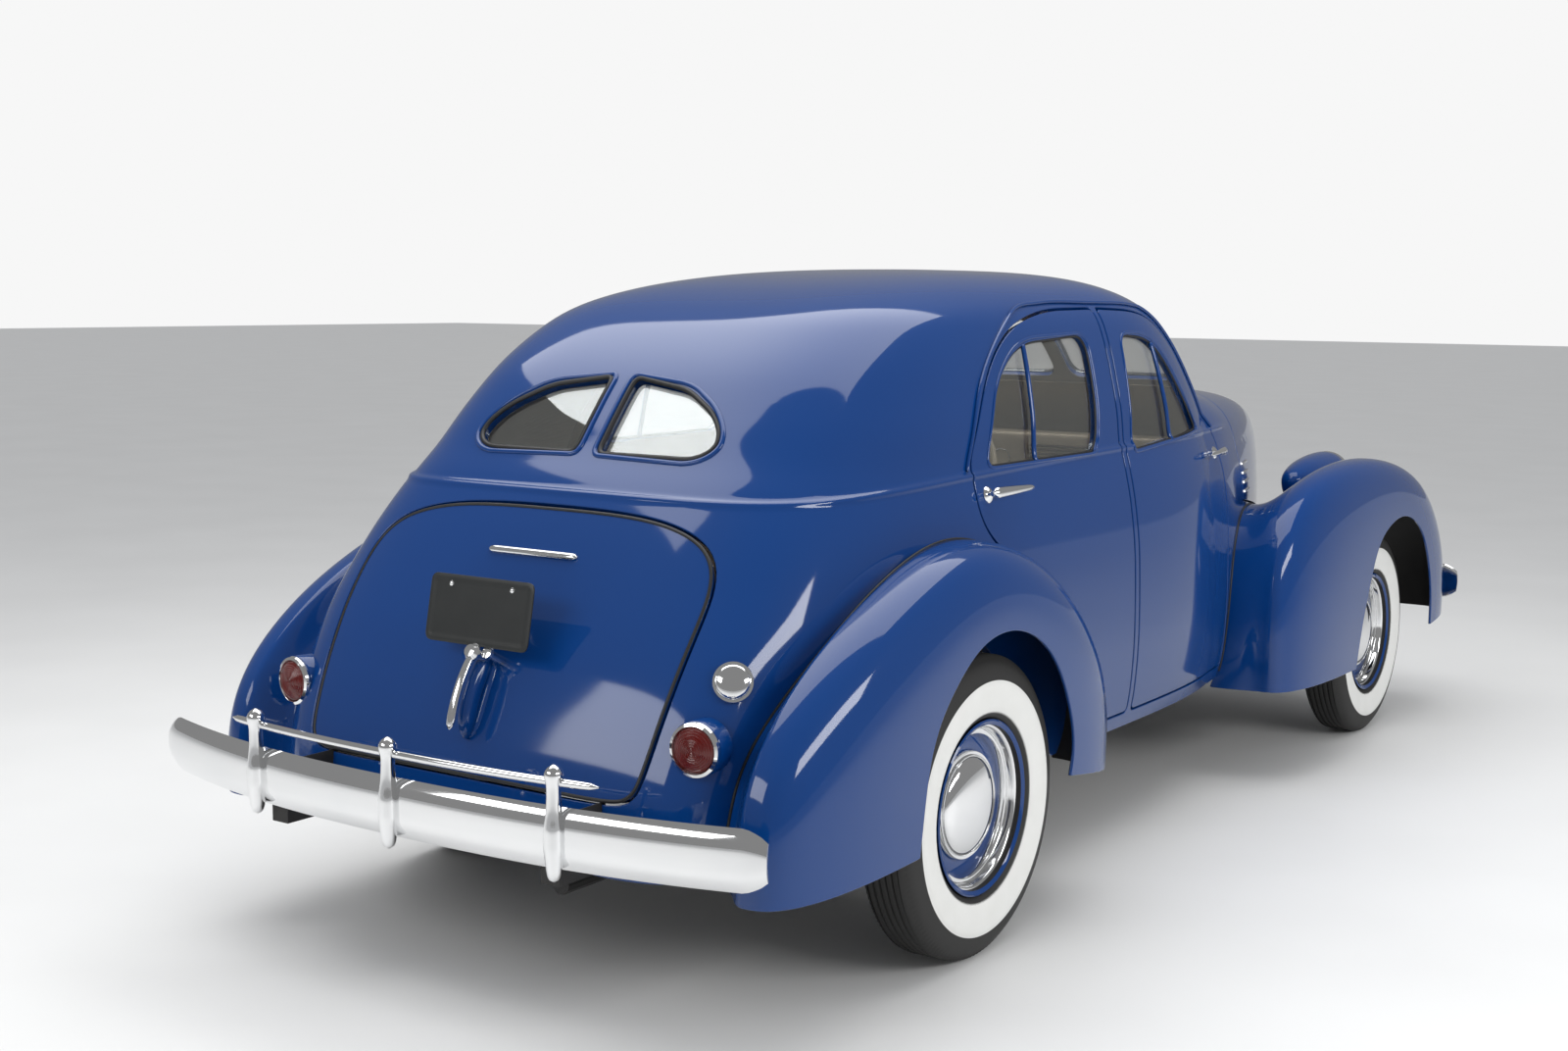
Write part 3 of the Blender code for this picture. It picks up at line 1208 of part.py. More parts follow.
class Bumper:
    """One bumper: a bowed blade, upright guards, a thin bar through them, and stays to the frame."""

    def __init__(self, name, sign, sweep, guards):
        self.name, self.sign, self.sweep, self.guards = name, sign, sweep, guards
        self.lead = self.bow(min(abs(x) for x in guards))

    def bow(self, x):
        """How far the blade is swept toward the car at a place across it."""
        return self.sweep * (abs(x) / BUMPER_HALF_SPAN) ** BUMPER_BOW_SHARE

    def place(self, x, inset):
        """Place along the car of a point inset from the bumper's bowed face."""
        return self.sign * (CAR_LENGTH / 2 - inset - self.bow(x) + self.lead)

    def blade(self):
        rings = []
        for share in np.sin(np.linspace(-math.pi / 2, math.pi / 2, BLADE_STATIONS)):
            x, d = share * BUMPER_HALF_SPAN, BUMPER_DEPTH
            h = BUMPER_BLADE_HALF * math.sqrt(max(1 - abs(share) ** 40, BLADE_END_SHARE))
            y = self.place(x, BLADE_INSET)
            ring = []
            for a, b in BLADE_SECTION_SHARES:
                ring.append((x, y + self.sign * a * d, BUMPER_BLADE_Z + b * h))
            rings.append(ring)
        return loft(self.name, rings, chrome(), 50)

    def guard(self, x):
        rings, y = [], self.place(x, GUARD_HALF_DEPTH)
        for share in np.linspace(0, 1, 6):
            swell = math.sin(math.pi * (0.12 + 0.76 * share)) ** 0.6
            w, d = GUARD_HALF_WIDTH * swell, GUARD_HALF_DEPTH * swell
            z = GUARD_BOTTOM_Z + (GUARD_TOP_Z - GUARD_BOTTOM_Z) * share
            turns = np.linspace(0, 2 * math.pi, 8, endpoint=False)
            rings.append([(x + w * math.cos(a), y + d * math.sin(a), z) for a in turns])
        return loft("guard", rings, chrome(), 50)

    def bar(self):
        rings = []
        for x in np.linspace(-BAR_HALF_SPAN, BAR_HALF_SPAN, BLADE_STATIONS):
            y = self.place(x, GUARD_HALF_DEPTH)
            turns = np.linspace(0, 2 * math.pi, 8, endpoint=False)
            rings.append([(x, y + BAR_RADIUS * math.cos(a), BAR_Z + BAR_RADIUS * math.sin(a)) for a in turns])
        return loft("bar", rings, chrome(), 50)

    def stay(self, x):
        inner = self.sign * (CAR_LENGTH / 2 - BRACKET_SETBACK + GAP)
        low, high = sorted((inner, self.place(x, BLADE_INSET + BUMPER_DEPTH / 2)))
        wide, tall = RAIL_HALF_WIDTH / 2, RAIL_HALF_HEIGHT / 2
        z = BUMPER_BLADE_Z - tall
        return box("stay", (x - wide, low, z - tall), (x + wide, high, z + tall), chrome())

    def build(self):
        blade = self.blade()
        stays = [self.stay(sign * RAIL_X) for _, sign in SIDES]
        fuse(blade, *[self.guard(x) for x in self.guards], self.bar(), *stays)
        tidy(blade, 50)


def make_seat(name, y, lean):
    """Bench seat: cushion and leaning back in one outline, notched over the tunnel."""
    d, t = SEAT_DEPTH, SEAT_BACK_THICKNESS
    top = SEAT_TOP_Z + SEAT_BACK_HEIGHT
    base = FLOOR_Z + FLOOR_THICKNESS + GAP
    outline = [
        (y, base), (y, SEAT_TOP_Z), (y + d - t, SEAT_TOP_Z - SEAT_DIP), (y + d - t + lean, top),
        (y + d - 0.3 * t + lean, top), (y + d, base),
    ]
    sides = [[(x, a, b) for a, b in outline] for x in (-SEAT_HALF_WIDTH, SEAT_HALF_WIDTH)]
    seat = loft(name, sides, beige_cloth())
    half = TUNNEL_HALF_WIDTH + FLOOR_THICKNESS + RUNNING_GAP
    notch = (-half, y - OVERRUN, 0), (half, y + d + OVERRUN, base + TUNNEL_HEIGHT + RUNNING_GAP)
    boolean(seat, box("tunnel_gap", *notch, rubber()), "DIFFERENCE")
    tidy(seat)


def make_cabin(body):
    """Seats, dashboard and steering wheel."""
    make_seat("front_seat", FRONT_SEAT_Y, FRONT_SEAT_LEAN)
    make_seat("rear_seat", REAR_SEAT_Y, REAR_SEAT_LEAN)
    half, deep = BODY_HALF, DASH_DEPTH / 2
    corners = (-half, DASH_Y - deep, DASH_BOTTOM_Z), (half, DASH_Y + deep, DASH_TOP_Z)
    dash = box("dashboard", *corners, beige_cloth())
    boolean(dash, body_filler(body, WALL + 2 * GAP), "INTERSECT")
    tidy(dash)
    r, t = STEERING_WHEEL_RADIUS, STEERING_RIM_RADIUS
    ring = [(r + t * math.cos(a), t * math.sin(a)) for a in np.linspace(0, 2 * math.pi, 6, endpoint=False)]
    wheel = turned("steering_wheel", ring, WHEEL_SEGMENTS, beige_cloth(), "Y")
    spokes = []
    for turn in (SPOKE_TURN, -SPOKE_TURN):
        c, s = r * math.cos(turn), r * math.sin(turn)
        spokes.append(rod("spoke", (-c, 0, -s), (c, 0, s), 0.7 * t, beige_cloth(), 8))
    column = rod("column", (0, 2 * t, 0), (0, -STEERING_DROP, 0), COLUMN_RADIUS, beige_cloth(), 12)
    fuse(wheel, *spokes, column)
    wheel.data.transform(Matrix.Rotation(STEERING_TILT, 4, "X"))
    wheel.data.transform(Matrix.Translation((STEERING_X, DASH_Y + STEERING_BEHIND, STEERING_Z)))
    face = FIREWALL_Y + SEAM_GAP + FLOOR_THICKNESS + GAP
    beyond = (-BODY_HALF, face - CAR_LENGTH, 0), (BODY_HALF, face, HEIGHT)
    boolean(wheel, box("firewall_room", *beyond, rubber()), "DIFFERENCE")
    tidy(wheel)


def make_filler(body):
    """Fuel filler: neck and domed cap standing out of the right rear corner."""
    r, h = FILLER_RADIUS, FILLER_HEIGHT
    profile = [
        (0, h), (0.6 * r, 0.95 * h), (0.92 * r, 0.80 * h), (r, 0.62 * h), (r, 0.30 * h), (0.8 * r, 0.28 * h),
        (0.8 * r, -h), (0, -h),
    ]
    x = FILLER_SHARE * BODY_HALF
    cap = turned("fuel_cap", profile, WHEEL_SEGMENTS, chrome(), "Y")
    turn = Matrix.Rotation(FILLER_TURN, 4, "Z") @ Matrix.Rotation(FILLER_TILT, 4, "X")
    cap.data.transform(Matrix.Translation((-x, tail_skin(x, FILLER_Z), FILLER_Z)) @ turn)
    boolean(cap, body_filler(body, -GAP), "DIFFERENCE")
    keep_largest(cap)
    tidy(cap)


def main():
    clear_scene()
    body = Body()
    make_body(body)
    make_floor(body)
    make_fenders(body)
    for side, sign in SIDES:
        make_tail_lamp(body, side, sign)
        arm_z = make_knuckle(side, sign)
    make_track_rod(arm_z)
    make_wheels()
    make_front_axle()
    make_rear_axle()
    make_frame()
    make_drive_line()
    Bumper("rear_bumper", 1, BUMPER_SWEEP, (-GUARD_X, 0, GUARD_X)).build()
    Bumper("front_bumper", -1, FRONT_BUMPER_SWEEP, (-GUARD_X, GUARD_X)).build()
    make_cabin(body)
    make_filler(body)


main()
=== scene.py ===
"""Looks of a vintage four-door fastback sedan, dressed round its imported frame.

Metres, +Z up, the car facing -Y with its right side at -X. Every panel is a surface worked out with
numpy from the same few tables of shares as the construction, at a finer pitch, with rolled edges.
"""

import logging
import math
from dataclasses import dataclass, field
from enum import Enum
from typing import Callable, Iterable, Sequence

import bpy
import numpy as np
from mathutils import Matrix, Vector


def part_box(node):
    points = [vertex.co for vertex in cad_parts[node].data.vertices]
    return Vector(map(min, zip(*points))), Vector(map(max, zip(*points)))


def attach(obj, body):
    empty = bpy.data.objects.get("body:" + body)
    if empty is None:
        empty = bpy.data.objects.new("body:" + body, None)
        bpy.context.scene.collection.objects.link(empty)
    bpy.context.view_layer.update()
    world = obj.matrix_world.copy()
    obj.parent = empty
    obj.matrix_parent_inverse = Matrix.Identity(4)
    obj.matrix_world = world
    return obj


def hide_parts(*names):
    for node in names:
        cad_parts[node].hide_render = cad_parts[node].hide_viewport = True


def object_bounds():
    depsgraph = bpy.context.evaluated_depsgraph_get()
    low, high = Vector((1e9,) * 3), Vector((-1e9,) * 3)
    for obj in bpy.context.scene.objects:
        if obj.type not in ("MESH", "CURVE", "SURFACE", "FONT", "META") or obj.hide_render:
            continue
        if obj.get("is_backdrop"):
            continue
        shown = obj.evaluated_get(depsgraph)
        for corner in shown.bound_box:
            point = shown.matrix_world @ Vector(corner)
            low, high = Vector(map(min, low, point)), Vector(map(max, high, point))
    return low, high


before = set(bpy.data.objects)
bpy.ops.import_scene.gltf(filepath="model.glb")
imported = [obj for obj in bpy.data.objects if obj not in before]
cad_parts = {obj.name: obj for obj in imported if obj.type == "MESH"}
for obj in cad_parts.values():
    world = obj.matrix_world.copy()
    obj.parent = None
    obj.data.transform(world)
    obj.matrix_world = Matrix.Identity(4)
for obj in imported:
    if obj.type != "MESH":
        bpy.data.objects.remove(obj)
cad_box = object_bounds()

LOG = logging.getLogger("sedan")
Array = np.ndarray
Pairs = Sequence[tuple[float, float]]
Colour = tuple[float, float, float]

# Driving sizes, as in the frame
CAR_LENGTH, WHEELBASE, HEIGHT, BODY_HALF = 4.839, 2.921, 1.61, 0.712
TYRE_RADIUS, TYRE_HALF_WIDTH, RIM_RADIUS, HUBCAP_RADIUS = 0.357, 0.0765, 0.205, 0.128
REAR_TRACK_HALF, FRONT_TRACK_HALF = 0.772, 0.724
REAR_AXLE_Y = 1.330
FRONT_AXLE_Y = REAR_AXLE_Y - WHEELBASE
AXLE_Z = TYRE_RADIUS
PILLAR_Y, WIDEST_Y, FIREWALL_Y, NOSE_Y = 0.23, 0.25, -0.885, -2.0
TAIL_REACH, SCREEN_REACH, NOSE_REACH = 1.95, 1.05, 2.52
SHOULDER_Z, HOOD_EDGE_Z, HOOD_EDGE_DROP, NOSE_BOTTOM = 0.80, 0.87, 0.145, 0.42
HOOD_HINGE_Y, HOOD_HINGE_Z = -0.888, 1.245
SILL_Z = 0.205 * HEIGHT
WALL, SHEET, GLASS, GLASS_SETBACK = 0.025, 0.008, 0.005, 0.010
RUNNING_GAP, ROLL = 0.0055, 0.0028
MERGE = 1e-5

WIDTH_SHARES = (
    (0.180, 0.930), (0.224, 0.969), (0.280, 0.989), (0.373, 1.000), (0.497, 0.994), (0.590, 0.972),
    (0.652, 0.944), (0.683, 0.926), (0.702, 0.913), (0.745, 0.902), (0.807, 0.874), (0.882, 0.829),
    (0.919, 0.794), (0.950, 0.723), (0.972, 0.632), (0.988, 0.506), (0.996, 0.351), (1.000, 0.020),
)
TAIL_SHARES = (
    (0.180, 1.000), (0.280, 0.995), (0.373, 0.969), (0.466, 0.931), (0.559, 0.882), (0.652, 0.826),
    (0.689, 0.800), (0.720, 0.774), (0.776, 0.736), (0.835, 0.692), (0.882, 0.641), (0.932, 0.564),
    (0.963, 0.472), (0.981, 0.374), (0.994, 0.241), (1.000, 0.050),
)
SCREEN_SHARES = (
    (0.180, 1.150), (0.683, 1.080), (0.745, 1.000), (0.839, 0.867), (0.901, 0.743), (0.944, 0.619),
    (0.975, 0.448), (0.994, 0.219), (1.000, 0.020),
)
SQUARE_SHARES = (
    (0.180, 9.0), (0.373, 9.2), (0.466, 9.2), (0.559, 8.4), (0.683, 7.1), (0.826, 5.7), (0.932, 4.7),
    (1.000, 3.0),
)
SCREEN_SQUARE_SHARE = 3.2
TAPER_SHARES = (
    (0.000, 1.000), (0.179, 0.975), (0.329, 0.915), (0.448, 0.820), (0.575, 0.690), (0.679, 0.565),
    (0.782, 0.425), (0.885, 0.275), (0.960, 0.150), (1.000, 0.004),
)
CROWN_SHARES = (
    (0.000, 0.800), (0.340, 0.785), (0.448, 0.770), (0.694, 0.739), (0.885, 0.690), (0.960, 0.640),
    (1.000, 0.560),
)
CROWN_SQUARE_SHARE = 4.5
# Height of the belt crease against the distance along the car, in metres
BELT_LINE = ((-1.00, 1.125), (0.20, 1.116), (1.13, 1.098), (1.49, 1.086), (1.76, 1.079), (1.95, 1.079))

REAR_DOOR_SHARES = (
    (0.005, 0.233), (0.005, 0.931), (0.103, 0.929), (0.171, 0.909), (0.216, 0.873), (0.248, 0.825),
    (0.277, 0.752), (0.298, 0.688), (0.293, 0.598), (0.233, 0.535), (0.183, 0.469), (0.134, 0.382),
    (0.110, 0.300), (0.109, 0.233),
)
FRONT_DOOR_SHARES = (
    (-0.005, 0.233), (-0.005, 0.931), (-0.089, 0.927), (-0.137, 0.911), (-0.185, 0.855), (-0.262, 0.697),
    (-0.277, 0.658), (-0.279, 0.233),
)
REAR_LIGHT_SHARES = (
    (0.264, 0.693), (0.252, 0.745), (0.229, 0.817), (0.195, 0.860), (0.161, 0.878), (0.043, 0.888),
    (0.045, 0.789), (0.053, 0.693),
)
FRONT_LIGHT_SHARES = (
    (-0.024, 0.686), (-0.035, 0.886), (-0.089, 0.881), (-0.116, 0.866), (-0.144, 0.829), (-0.210, 0.705),
)
LID_SHARES = (
    (0.600, 0.299), (0.668, 0.308), (0.692, 0.335), (0.712, 0.427), (0.729, 0.524), (0.720, 0.575),
    (0.672, 0.608), (0.580, 0.630), (0.420, 0.645), (0.180, 0.651),
)
BACKLIGHT_SHARES = (
    (0.048, 0.723), (0.440, 0.723), (0.500, 0.738), (0.490, 0.760), (0.430, 0.785), (0.290, 0.815),
    (0.048, 0.830),
)
SCREEN_LIGHT_SHARES = ((0.035, 0.795), (0.660, 0.795), (0.675, 0.830), (0.610, 0.905), (0.035, 0.918))
DRIP_LINE = (
    (1.10, 1.108), (0.953, 1.328), (0.73, 1.472), (0.53, 1.507), (0.24, 1.511), (-0.03, 1.506),
    (-0.17, 1.480), (-0.31, 1.390), (-0.534, 1.140),
)

REAR_SEAM_SHARES = (
    (-1.93, -0.10), (-1.96, 0.33), (-1.87, 0.69), (-1.51, 1.12), (-1.19, 1.38), (-0.85, 1.56), (-0.47, 1.69),
    (-0.20, 1.715), (0.22, 1.66), (0.85, 1.435), (1.42, 1.11), (1.84, 0.78), (2.05, 0.51), (2.09, 0.24),
    (2.09, -0.10),
)
REAR_CROWN_SHARES = (
    (-1.90, -0.10), (-1.93, 0.33), (-1.84, 0.69), (-1.48, 1.10), (-1.17, 1.35), (-0.84, 1.53), (-0.46, 1.68),
    (0.00, 1.74), (0.45, 1.69), (0.96, 1.52), (1.49, 1.28), (1.85, 1.05), (2.12, 0.81), (2.30, 0.57),
    (2.36, 0.26), (2.34, -0.10),
)
REAR_LIP_SHARES = (
    (-0.99, 0.04), (-1.06, 0.18), (-0.99, 0.46), (-0.78, 0.83), (-0.48, 1.07), (-0.10, 1.18), (0.28, 1.14),
    (0.59, 0.95), (0.90, 0.60), (1.04, -0.06),
)
FRONT_SEAM_SHARES = (
    (2.80, -0.16), (2.76, 0.54), (2.61, 1.08), (2.22, 1.35), (1.52, 1.36), (0.68, 1.24), (-0.17, 1.12),
    (-0.87, 1.02), (-1.37, 0.80), (-1.60, 0.46), (-1.62, 0.06),
)
FRONT_CROWN_SHARES = (
    (2.74, -0.16), (2.74, 0.54), (2.60, 1.13), (2.22, 1.50), (1.52, 1.70), (0.68, 1.76), (-0.17, 1.70),
    (-1.01, 1.48), (-1.62, 1.07), (-1.96, 0.54), (-1.92, 0.02),
)
FRONT_LIP_SHARES = (
    (1.18, -0.16), (1.04, 0.26), (0.84, 0.65), (0.65, 0.96), (0.34, 1.11), (-0.05, 1.18), (-0.45, 1.11),
    (-0.78, 0.93), (-1.01, 0.62), (-1.15, 0.26), (-1.15, -0.05),
)
FENDER_SQUARE_SHARE = 2.8


class Side(Enum):
    """The two sides of the car, with the sign of X on each."""

    LEFT = 1
    RIGHT = -1

    @property
    def word(self) -> str:
        """The side's name in the names of nodes."""
        return self.name.lower()


class Wire:
    """One socket of a node tree: operators on it add Math nodes."""

    def __init__(self, tree: bpy.types.NodeTree, socket: bpy.types.NodeSocket) -> None:
        """Keep the tree and the socket."""
        self.tree, self.socket = tree, socket

    def math(self, operation: str, *values: "Wire | float") -> "Wire":
        """Add one Math node.

        Args:
            operation: The Math node's operation.
            values: Its inputs, as sockets or numbers.
        Returns:
            The node's output.
        """
        node = self.tree.nodes.new("ShaderNodeMath")
        node.operation = operation
        for slot, value in zip(node.inputs, values):
            if isinstance(value, Wire):
                self.tree.links.new(value.socket, slot)
            else:
                slot.default_value = value
        return Wire(self.tree, node.outputs[0])

    def __add__(self, other: "Wire | float") -> "Wire":
        """Sum."""
        return self.math("ADD", self, other)

    def __sub__(self, other: "Wire | float") -> "Wire":
        """Difference."""
        return self.math("SUBTRACT", self, other)

    def __mul__(self, other: "Wire | float") -> "Wire":
        """Product."""
        return self.math("MULTIPLY", self, other)

    def __pow__(self, other: "Wire | float") -> "Wire":
        """Power."""
        return self.math("POWER", self, other)

    __radd__, __rmul__ = __add__, __mul__

    def __rsub__(self, other: float) -> "Wire":
        """A number less this socket."""
        return self.math("SUBTRACT", other, self)


class Shader:
    """One material being made, with its Principled shader."""

    def __init__(self, name: str) -> None:
        """Start a material of this name."""
        self.material = bpy.data.materials.new(name)
        self.material.use_nodes = True
        self.tree = self.material.node_tree
        self.surface = self.tree.nodes["Principled BSDF"]

    def node(self, kind: str, settings: dict | None = None, **inputs: object) -> bpy.types.Node:
        """Add a node.

        Args:
            kind: The node's type.
            settings: Its own settings, which are set first.
            inputs: Values or wires of its sockets, with _ for a space.
        Returns:
            The node.
        """
        made = self.tree.nodes.new(kind)
        for key, value in (settings or {}).items():
            setattr(made, key, value)
        for key, value in inputs.items():
            self.feed(made.inputs[key.replace("_", " ")], value)
        return made

    def feed(self, socket: bpy.types.NodeSocket, value: object) -> None:
        """Link a wire to a socket, or set its value."""
        if isinstance(value, Wire):
            self.tree.links.new(value.socket, socket)
        elif isinstance(value, tuple) and len(value) == 3 and socket.type == "RGBA":
            socket.default_value = (*value, 1.0)
        else:
            socket.default_value = value

    def set(self, **inputs: object) -> None:
        """Feed the Principled shader's sockets."""
        for key, value in inputs.items():
            self.feed(self.surface.inputs[key.replace("_", " ")], value)

    def place(self) -> Wire:
        """Object coordinates."""
        return Wire(self.tree, self.node("ShaderNodeTexCoord").outputs["Object"])

    def noise(self, scale: float, detail: float = 2.0, rough: float = 0.5) -> Wire:
        """Noise of a scale on Object coordinates."""
        node = self.node("ShaderNodeTexNoise", None, Vector=self.place(), Scale=scale, Detail=detail, Roughness=rough)
        return Wire(self.tree, node.outputs["Fac"])

    def weave(self, scale: float) -> Wire:
        """Two crossed waves, as threads over and under each other."""
        made = []
        for direction in ("X", "Z"):
            settings = {"wave_type": "BANDS", "bands_direction": direction}
            node = self.node("ShaderNodeTexWave", settings, Vector=self.place(), Scale=scale, Distortion=0.6)
            made.append(Wire(self.tree, node.outputs["Fac"]))
        return made[0] * made[1]

    def blend(self, one: Colour, two: Colour, factor: Wire) -> Wire:
        """Colour between two colours."""
        node = self.node("ShaderNodeMix", {"data_type": "RGBA"})
        self.feed(node.inputs[0], factor)
        self.feed(node.inputs[6], one)
        self.feed(node.inputs[7], two)
        return Wire(self.tree, node.outputs[2])

    def bump(self, height: Wire, strength: float, distance: float) -> None:
        """Feed the shader's normal from a height."""
        node = self.node("ShaderNodeBump", None, Height=height, Strength=strength, Distance=distance)
        self.set(Normal=Wire(self.tree, node.outputs["Normal"]))


@dataclass(frozen=True)
class Finish:
    """Finish with a mottled colour, a varying roughness and a fine grain."""

    name: str
    slot: str
    colour: Colour
    shade: Colour
    roughness: float
    metallic: float = 0.0
    coat: float = 0.0
    patch_scale: float = 3.0
    change: float = 0.05
    grain_scale: float = 300.0
    grain: float = 0.02
    specular: float = 0.5

    def dress(self, shader: Shader) -> None:
        """Feed the shader for this finish."""
        shader.surface.inputs["Specular IOR Level"].default_value = self.specular
        patch = shader.noise(self.patch_scale, 4.0)
        shader.set(Base_Color=shader.blend(self.colour, self.shade, patch), Metallic=self.metallic)
        shader.set(Roughness=self.roughness + (patch - 0.5) * self.change, Coat_Weight=self.coat)
        shader.surface.inputs["Coat Roughness"].default_value = 0.06
        shader.bump(shader.noise(self.grain_scale, 2.0), self.grain, 0.001)

    def material(self) -> bpy.types.Material:
        """The finish's material, made at its first use."""
        found = bpy.data.materials.get(self.name)
        if found:
            return found
        shader = Shader(self.name)
        self.dress(shader)
        return shader.material


@dataclass(frozen=True)
class Cloth(Finish):
    """Woven wool cloth with a soft sheen."""

    threads: float = 260.0

    def dress(self, shader: Shader) -> None:
        """Feed the shader with a weave over the mottled colour."""
        super().dress(shader)
        weave = shader.weave(self.threads)
        shader.set(Base_Color=shader.blend(self.shade, self.colour, weave * 0.5 + shader.noise(5.0, 3.0) * 0.5))
        shader.surface.inputs["Sheen Weight"].default_value = 0.35
        shader.bump(weave + shader.noise(900.0, 2.0) * 0.4, 0.5, 0.0008)


@dataclass(frozen=True)
class Pane(Finish):
    """Clear glass: a thin mirror that lets through what it doesn't reflect."""

    facing: float = 0.02
    edge: float = 0.34

    def dress(self, shader: Shader) -> None:
        """Feed the shader, more opaque at grazing angles."""
        weight = shader.node("ShaderNodeLayerWeight", None, Blend=0.35)
        grazing = Wire(shader.tree, weight.outputs["Fresnel"])
        shader.set(Base_Color=self.colour, Metallic=1.0, Roughness=self.roughness)
        shader.set(Alpha=self.facing + grazing * self.edge)


@dataclass(frozen=True)
class Lens(Finish):
    """Moulded lens that lets a quarter of the light through."""

    def dress(self, shader: Shader) -> None:
        """Feed the shader as a mottled, grained finish that lets a quarter of the light through."""
        super().dress(shader)
        shader.set(Transmission_Weight=0.25)


PAINT = Finish("royal_blue_paint", "body_paint", (0.0004, 0.034, 0.165), (0.0007, 0.041, 0.190), 0.45,
               coat=1.0, patch_scale=1.3, change=0.04, grain_scale=900.0, grain=0.006, specular=0.04)
CHROME = Finish("bright_chrome", "chrome", (0.80, 0.81, 0.82), (0.86, 0.86, 0.86), 0.07, 1.0,
                patch_scale=9.0, change=0.04, grain_scale=60.0, grain=0.01)
RUBBER = Finish("black_rubber", "tyre", (0.012, 0.012, 0.012), (0.024, 0.023, 0.022), 0.62,
                patch_scale=12.0, change=0.2, grain_scale=500.0, grain=0.15)
WHITEWALL = Finish("whitewall", "tyre", (0.78, 0.78, 0.76), (0.70, 0.70, 0.67), 0.5,
                   patch_scale=14.0, change=0.15, grain_scale=400.0, grain=0.08)
GASKET = Finish("black_gasket", "tyre", (0.006, 0.006, 0.007), (0.012, 0.012, 0.012), 0.45,
                patch_scale=30.0, change=0.1, grain_scale=500.0, grain=0.05)
STEEL = Finish("chassis_black", "black_steel", (0.014, 0.014, 0.015), (0.030, 0.028, 0.026), 0.5, 0.3,
               patch_scale=14.0, change=0.25, grain_scale=220.0, grain=0.2)
ENGINE = Finish("engine_grey", "black_steel", (0.06, 0.07, 0.08), (0.03, 0.03, 0.03), 0.5, 0.4,
                patch_scale=18.0, change=0.2, grain_scale=160.0, grain=0.3)
CLOTH = Cloth("beige_wool", "beige_cloth", (0.50, 0.42, 0.31), (0.36, 0.29, 0.20), 0.9, patch_scale=8.0)
LINING = Cloth("pale_headlining", "beige_cloth", (0.60, 0.54, 0.44), (0.48, 0.42, 0.33), 0.92, threads=180.0)
ENAMEL = Finish("beige_enamel", "beige_enamel", (0.46, 0.40, 0.31), (0.40, 0.34, 0.26), 0.35,
                coat=0.4, patch_scale=6.0, grain_scale=500.0, grain=0.02)
DARK_ENAMEL = Finish("brown_speaker", "beige_enamel", (0.055, 0.035, 0.024), (0.09, 0.06, 0.04), 0.5,
                     patch_scale=20.0, grain_scale=600.0, grain=0.05)
IVORY = Finish("ivory_plastic", "ivory_plastic", (0.70, 0.63, 0.50), (0.62, 0.55, 0.42), 0.3,
               coat=0.5, patch_scale=10.0, grain_scale=300.0, grain=0.01)
CLEAR = Pane("clear_glass", "glass", (0.88, 0.92, 0.92), (0.8, 0.9, 0.9), 0.01)
RED = Lens("red_glass", "red_lens", (0.10, 0.003, 0.002), (0.17, 0.006, 0.004), 0.12,
           coat=0.6, patch_scale=30.0, grain_scale=160.0, grain=0.3, specular=0.2)
PLATE = Finish("plate_black", "black_steel", (0.010, 0.012, 0.012), (0.016, 0.018, 0.018), 0.42,
               patch_scale=20.0, change=0.1, grain_scale=300.0, grain=0.04)


def monotone(x: Array, y: Array, at: Array) -> Array:
    """Monotone cubic through points: harmonic mean slopes, Hermite blends between them.

    Args:
        x: Rising positions.
        y: Values there.
        at: Positions to read.
    Returns:
        The values at them.
    """
    width = np.diff(x)
    slope = np.diff(y) / width
    tangent = np.concatenate([slope[:1], np.zeros(len(x) - 2), slope[-1:]])
    same = slope[:-1] * slope[1:] > 0
    before, after = 2 * width[1:] + width[:-1], width[1:] + 2 * width[:-1]
    low, high = np.where(same, slope[:-1], 1), np.where(same, slope[1:], 1)
    tangent[1:-1] = np.where(same, (before + after) / (before / low + after / high), 0)
    at = np.clip(at, x[0], x[-1])
    k = np.clip(np.searchsorted(x, at, side="right") - 1, 0, len(width) - 1)
    u, h = (at - x[k]) / width[k], width[k]
    start = (1 + 2 * u) * (1 - u) ** 2 * y[k] + u * (1 - u) ** 2 * h * tangent[k]
    return start + u * u * (3 - 2 * u) * y[k + 1] + u * u * (u - 1) * h * tangent[k + 1]


def softened(value: Array, sigma: float) -> Array:
    """Values with a Gaussian run over them, their ends held by turning the run about each end.

    Args:
        value: The values, one after another.
        sigma: Width of the Gaussian in steps.
    Returns:
        As many values.
    """
    reach = int(3 * sigma)
    kernel = np.exp(-0.5 * (np.arange(-reach, reach + 1) / sigma) ** 2)
    lead = 2 * value[0] - value[reach:0:-1]
    trail = 2 * value[-1] - value[-2:-reach - 2:-1]
    return np.convolve(np.concatenate([lead, value, trail]), kernel / kernel.sum(), mode="valid")


class Profile:
    """Smooth curve through pairs, sampled finely and softened so that a gloss shows no kink at them."""

    SAMPLES = 2401

    def __init__(self, pairs: Pairs, rooted: bool = False, soft: float = 0.012) -> None:
        """Sample the monotone cubic and run a Gaussian over it.

        Args:
            pairs: Positions and values.
            rooted: Read positions as the root of their distance below 1, as a dome's width runs.
            soft: Width of the Gaussian as a share of the whole run.
        """
        table = np.asarray(pairs, float)
        self.rooted = rooted
        x = self.warp(table[:, 0])
        self.at = np.linspace(x[0], x[-1], self.SAMPLES)
        value = monotone(x, table[:, 1], self.at)
        self.value = softened(value, soft * self.SAMPLES)

    def warp(self, at: Array) -> Array:
        """Position as the table reads it."""
        return -np.sqrt(np.maximum(1 - at, 0)) if self.rooted else np.asarray(at, float)

    def __call__(self, at: Array) -> Array:
        """Values at positions."""
        return np.interp(self.warp(at), self.at, self.value)


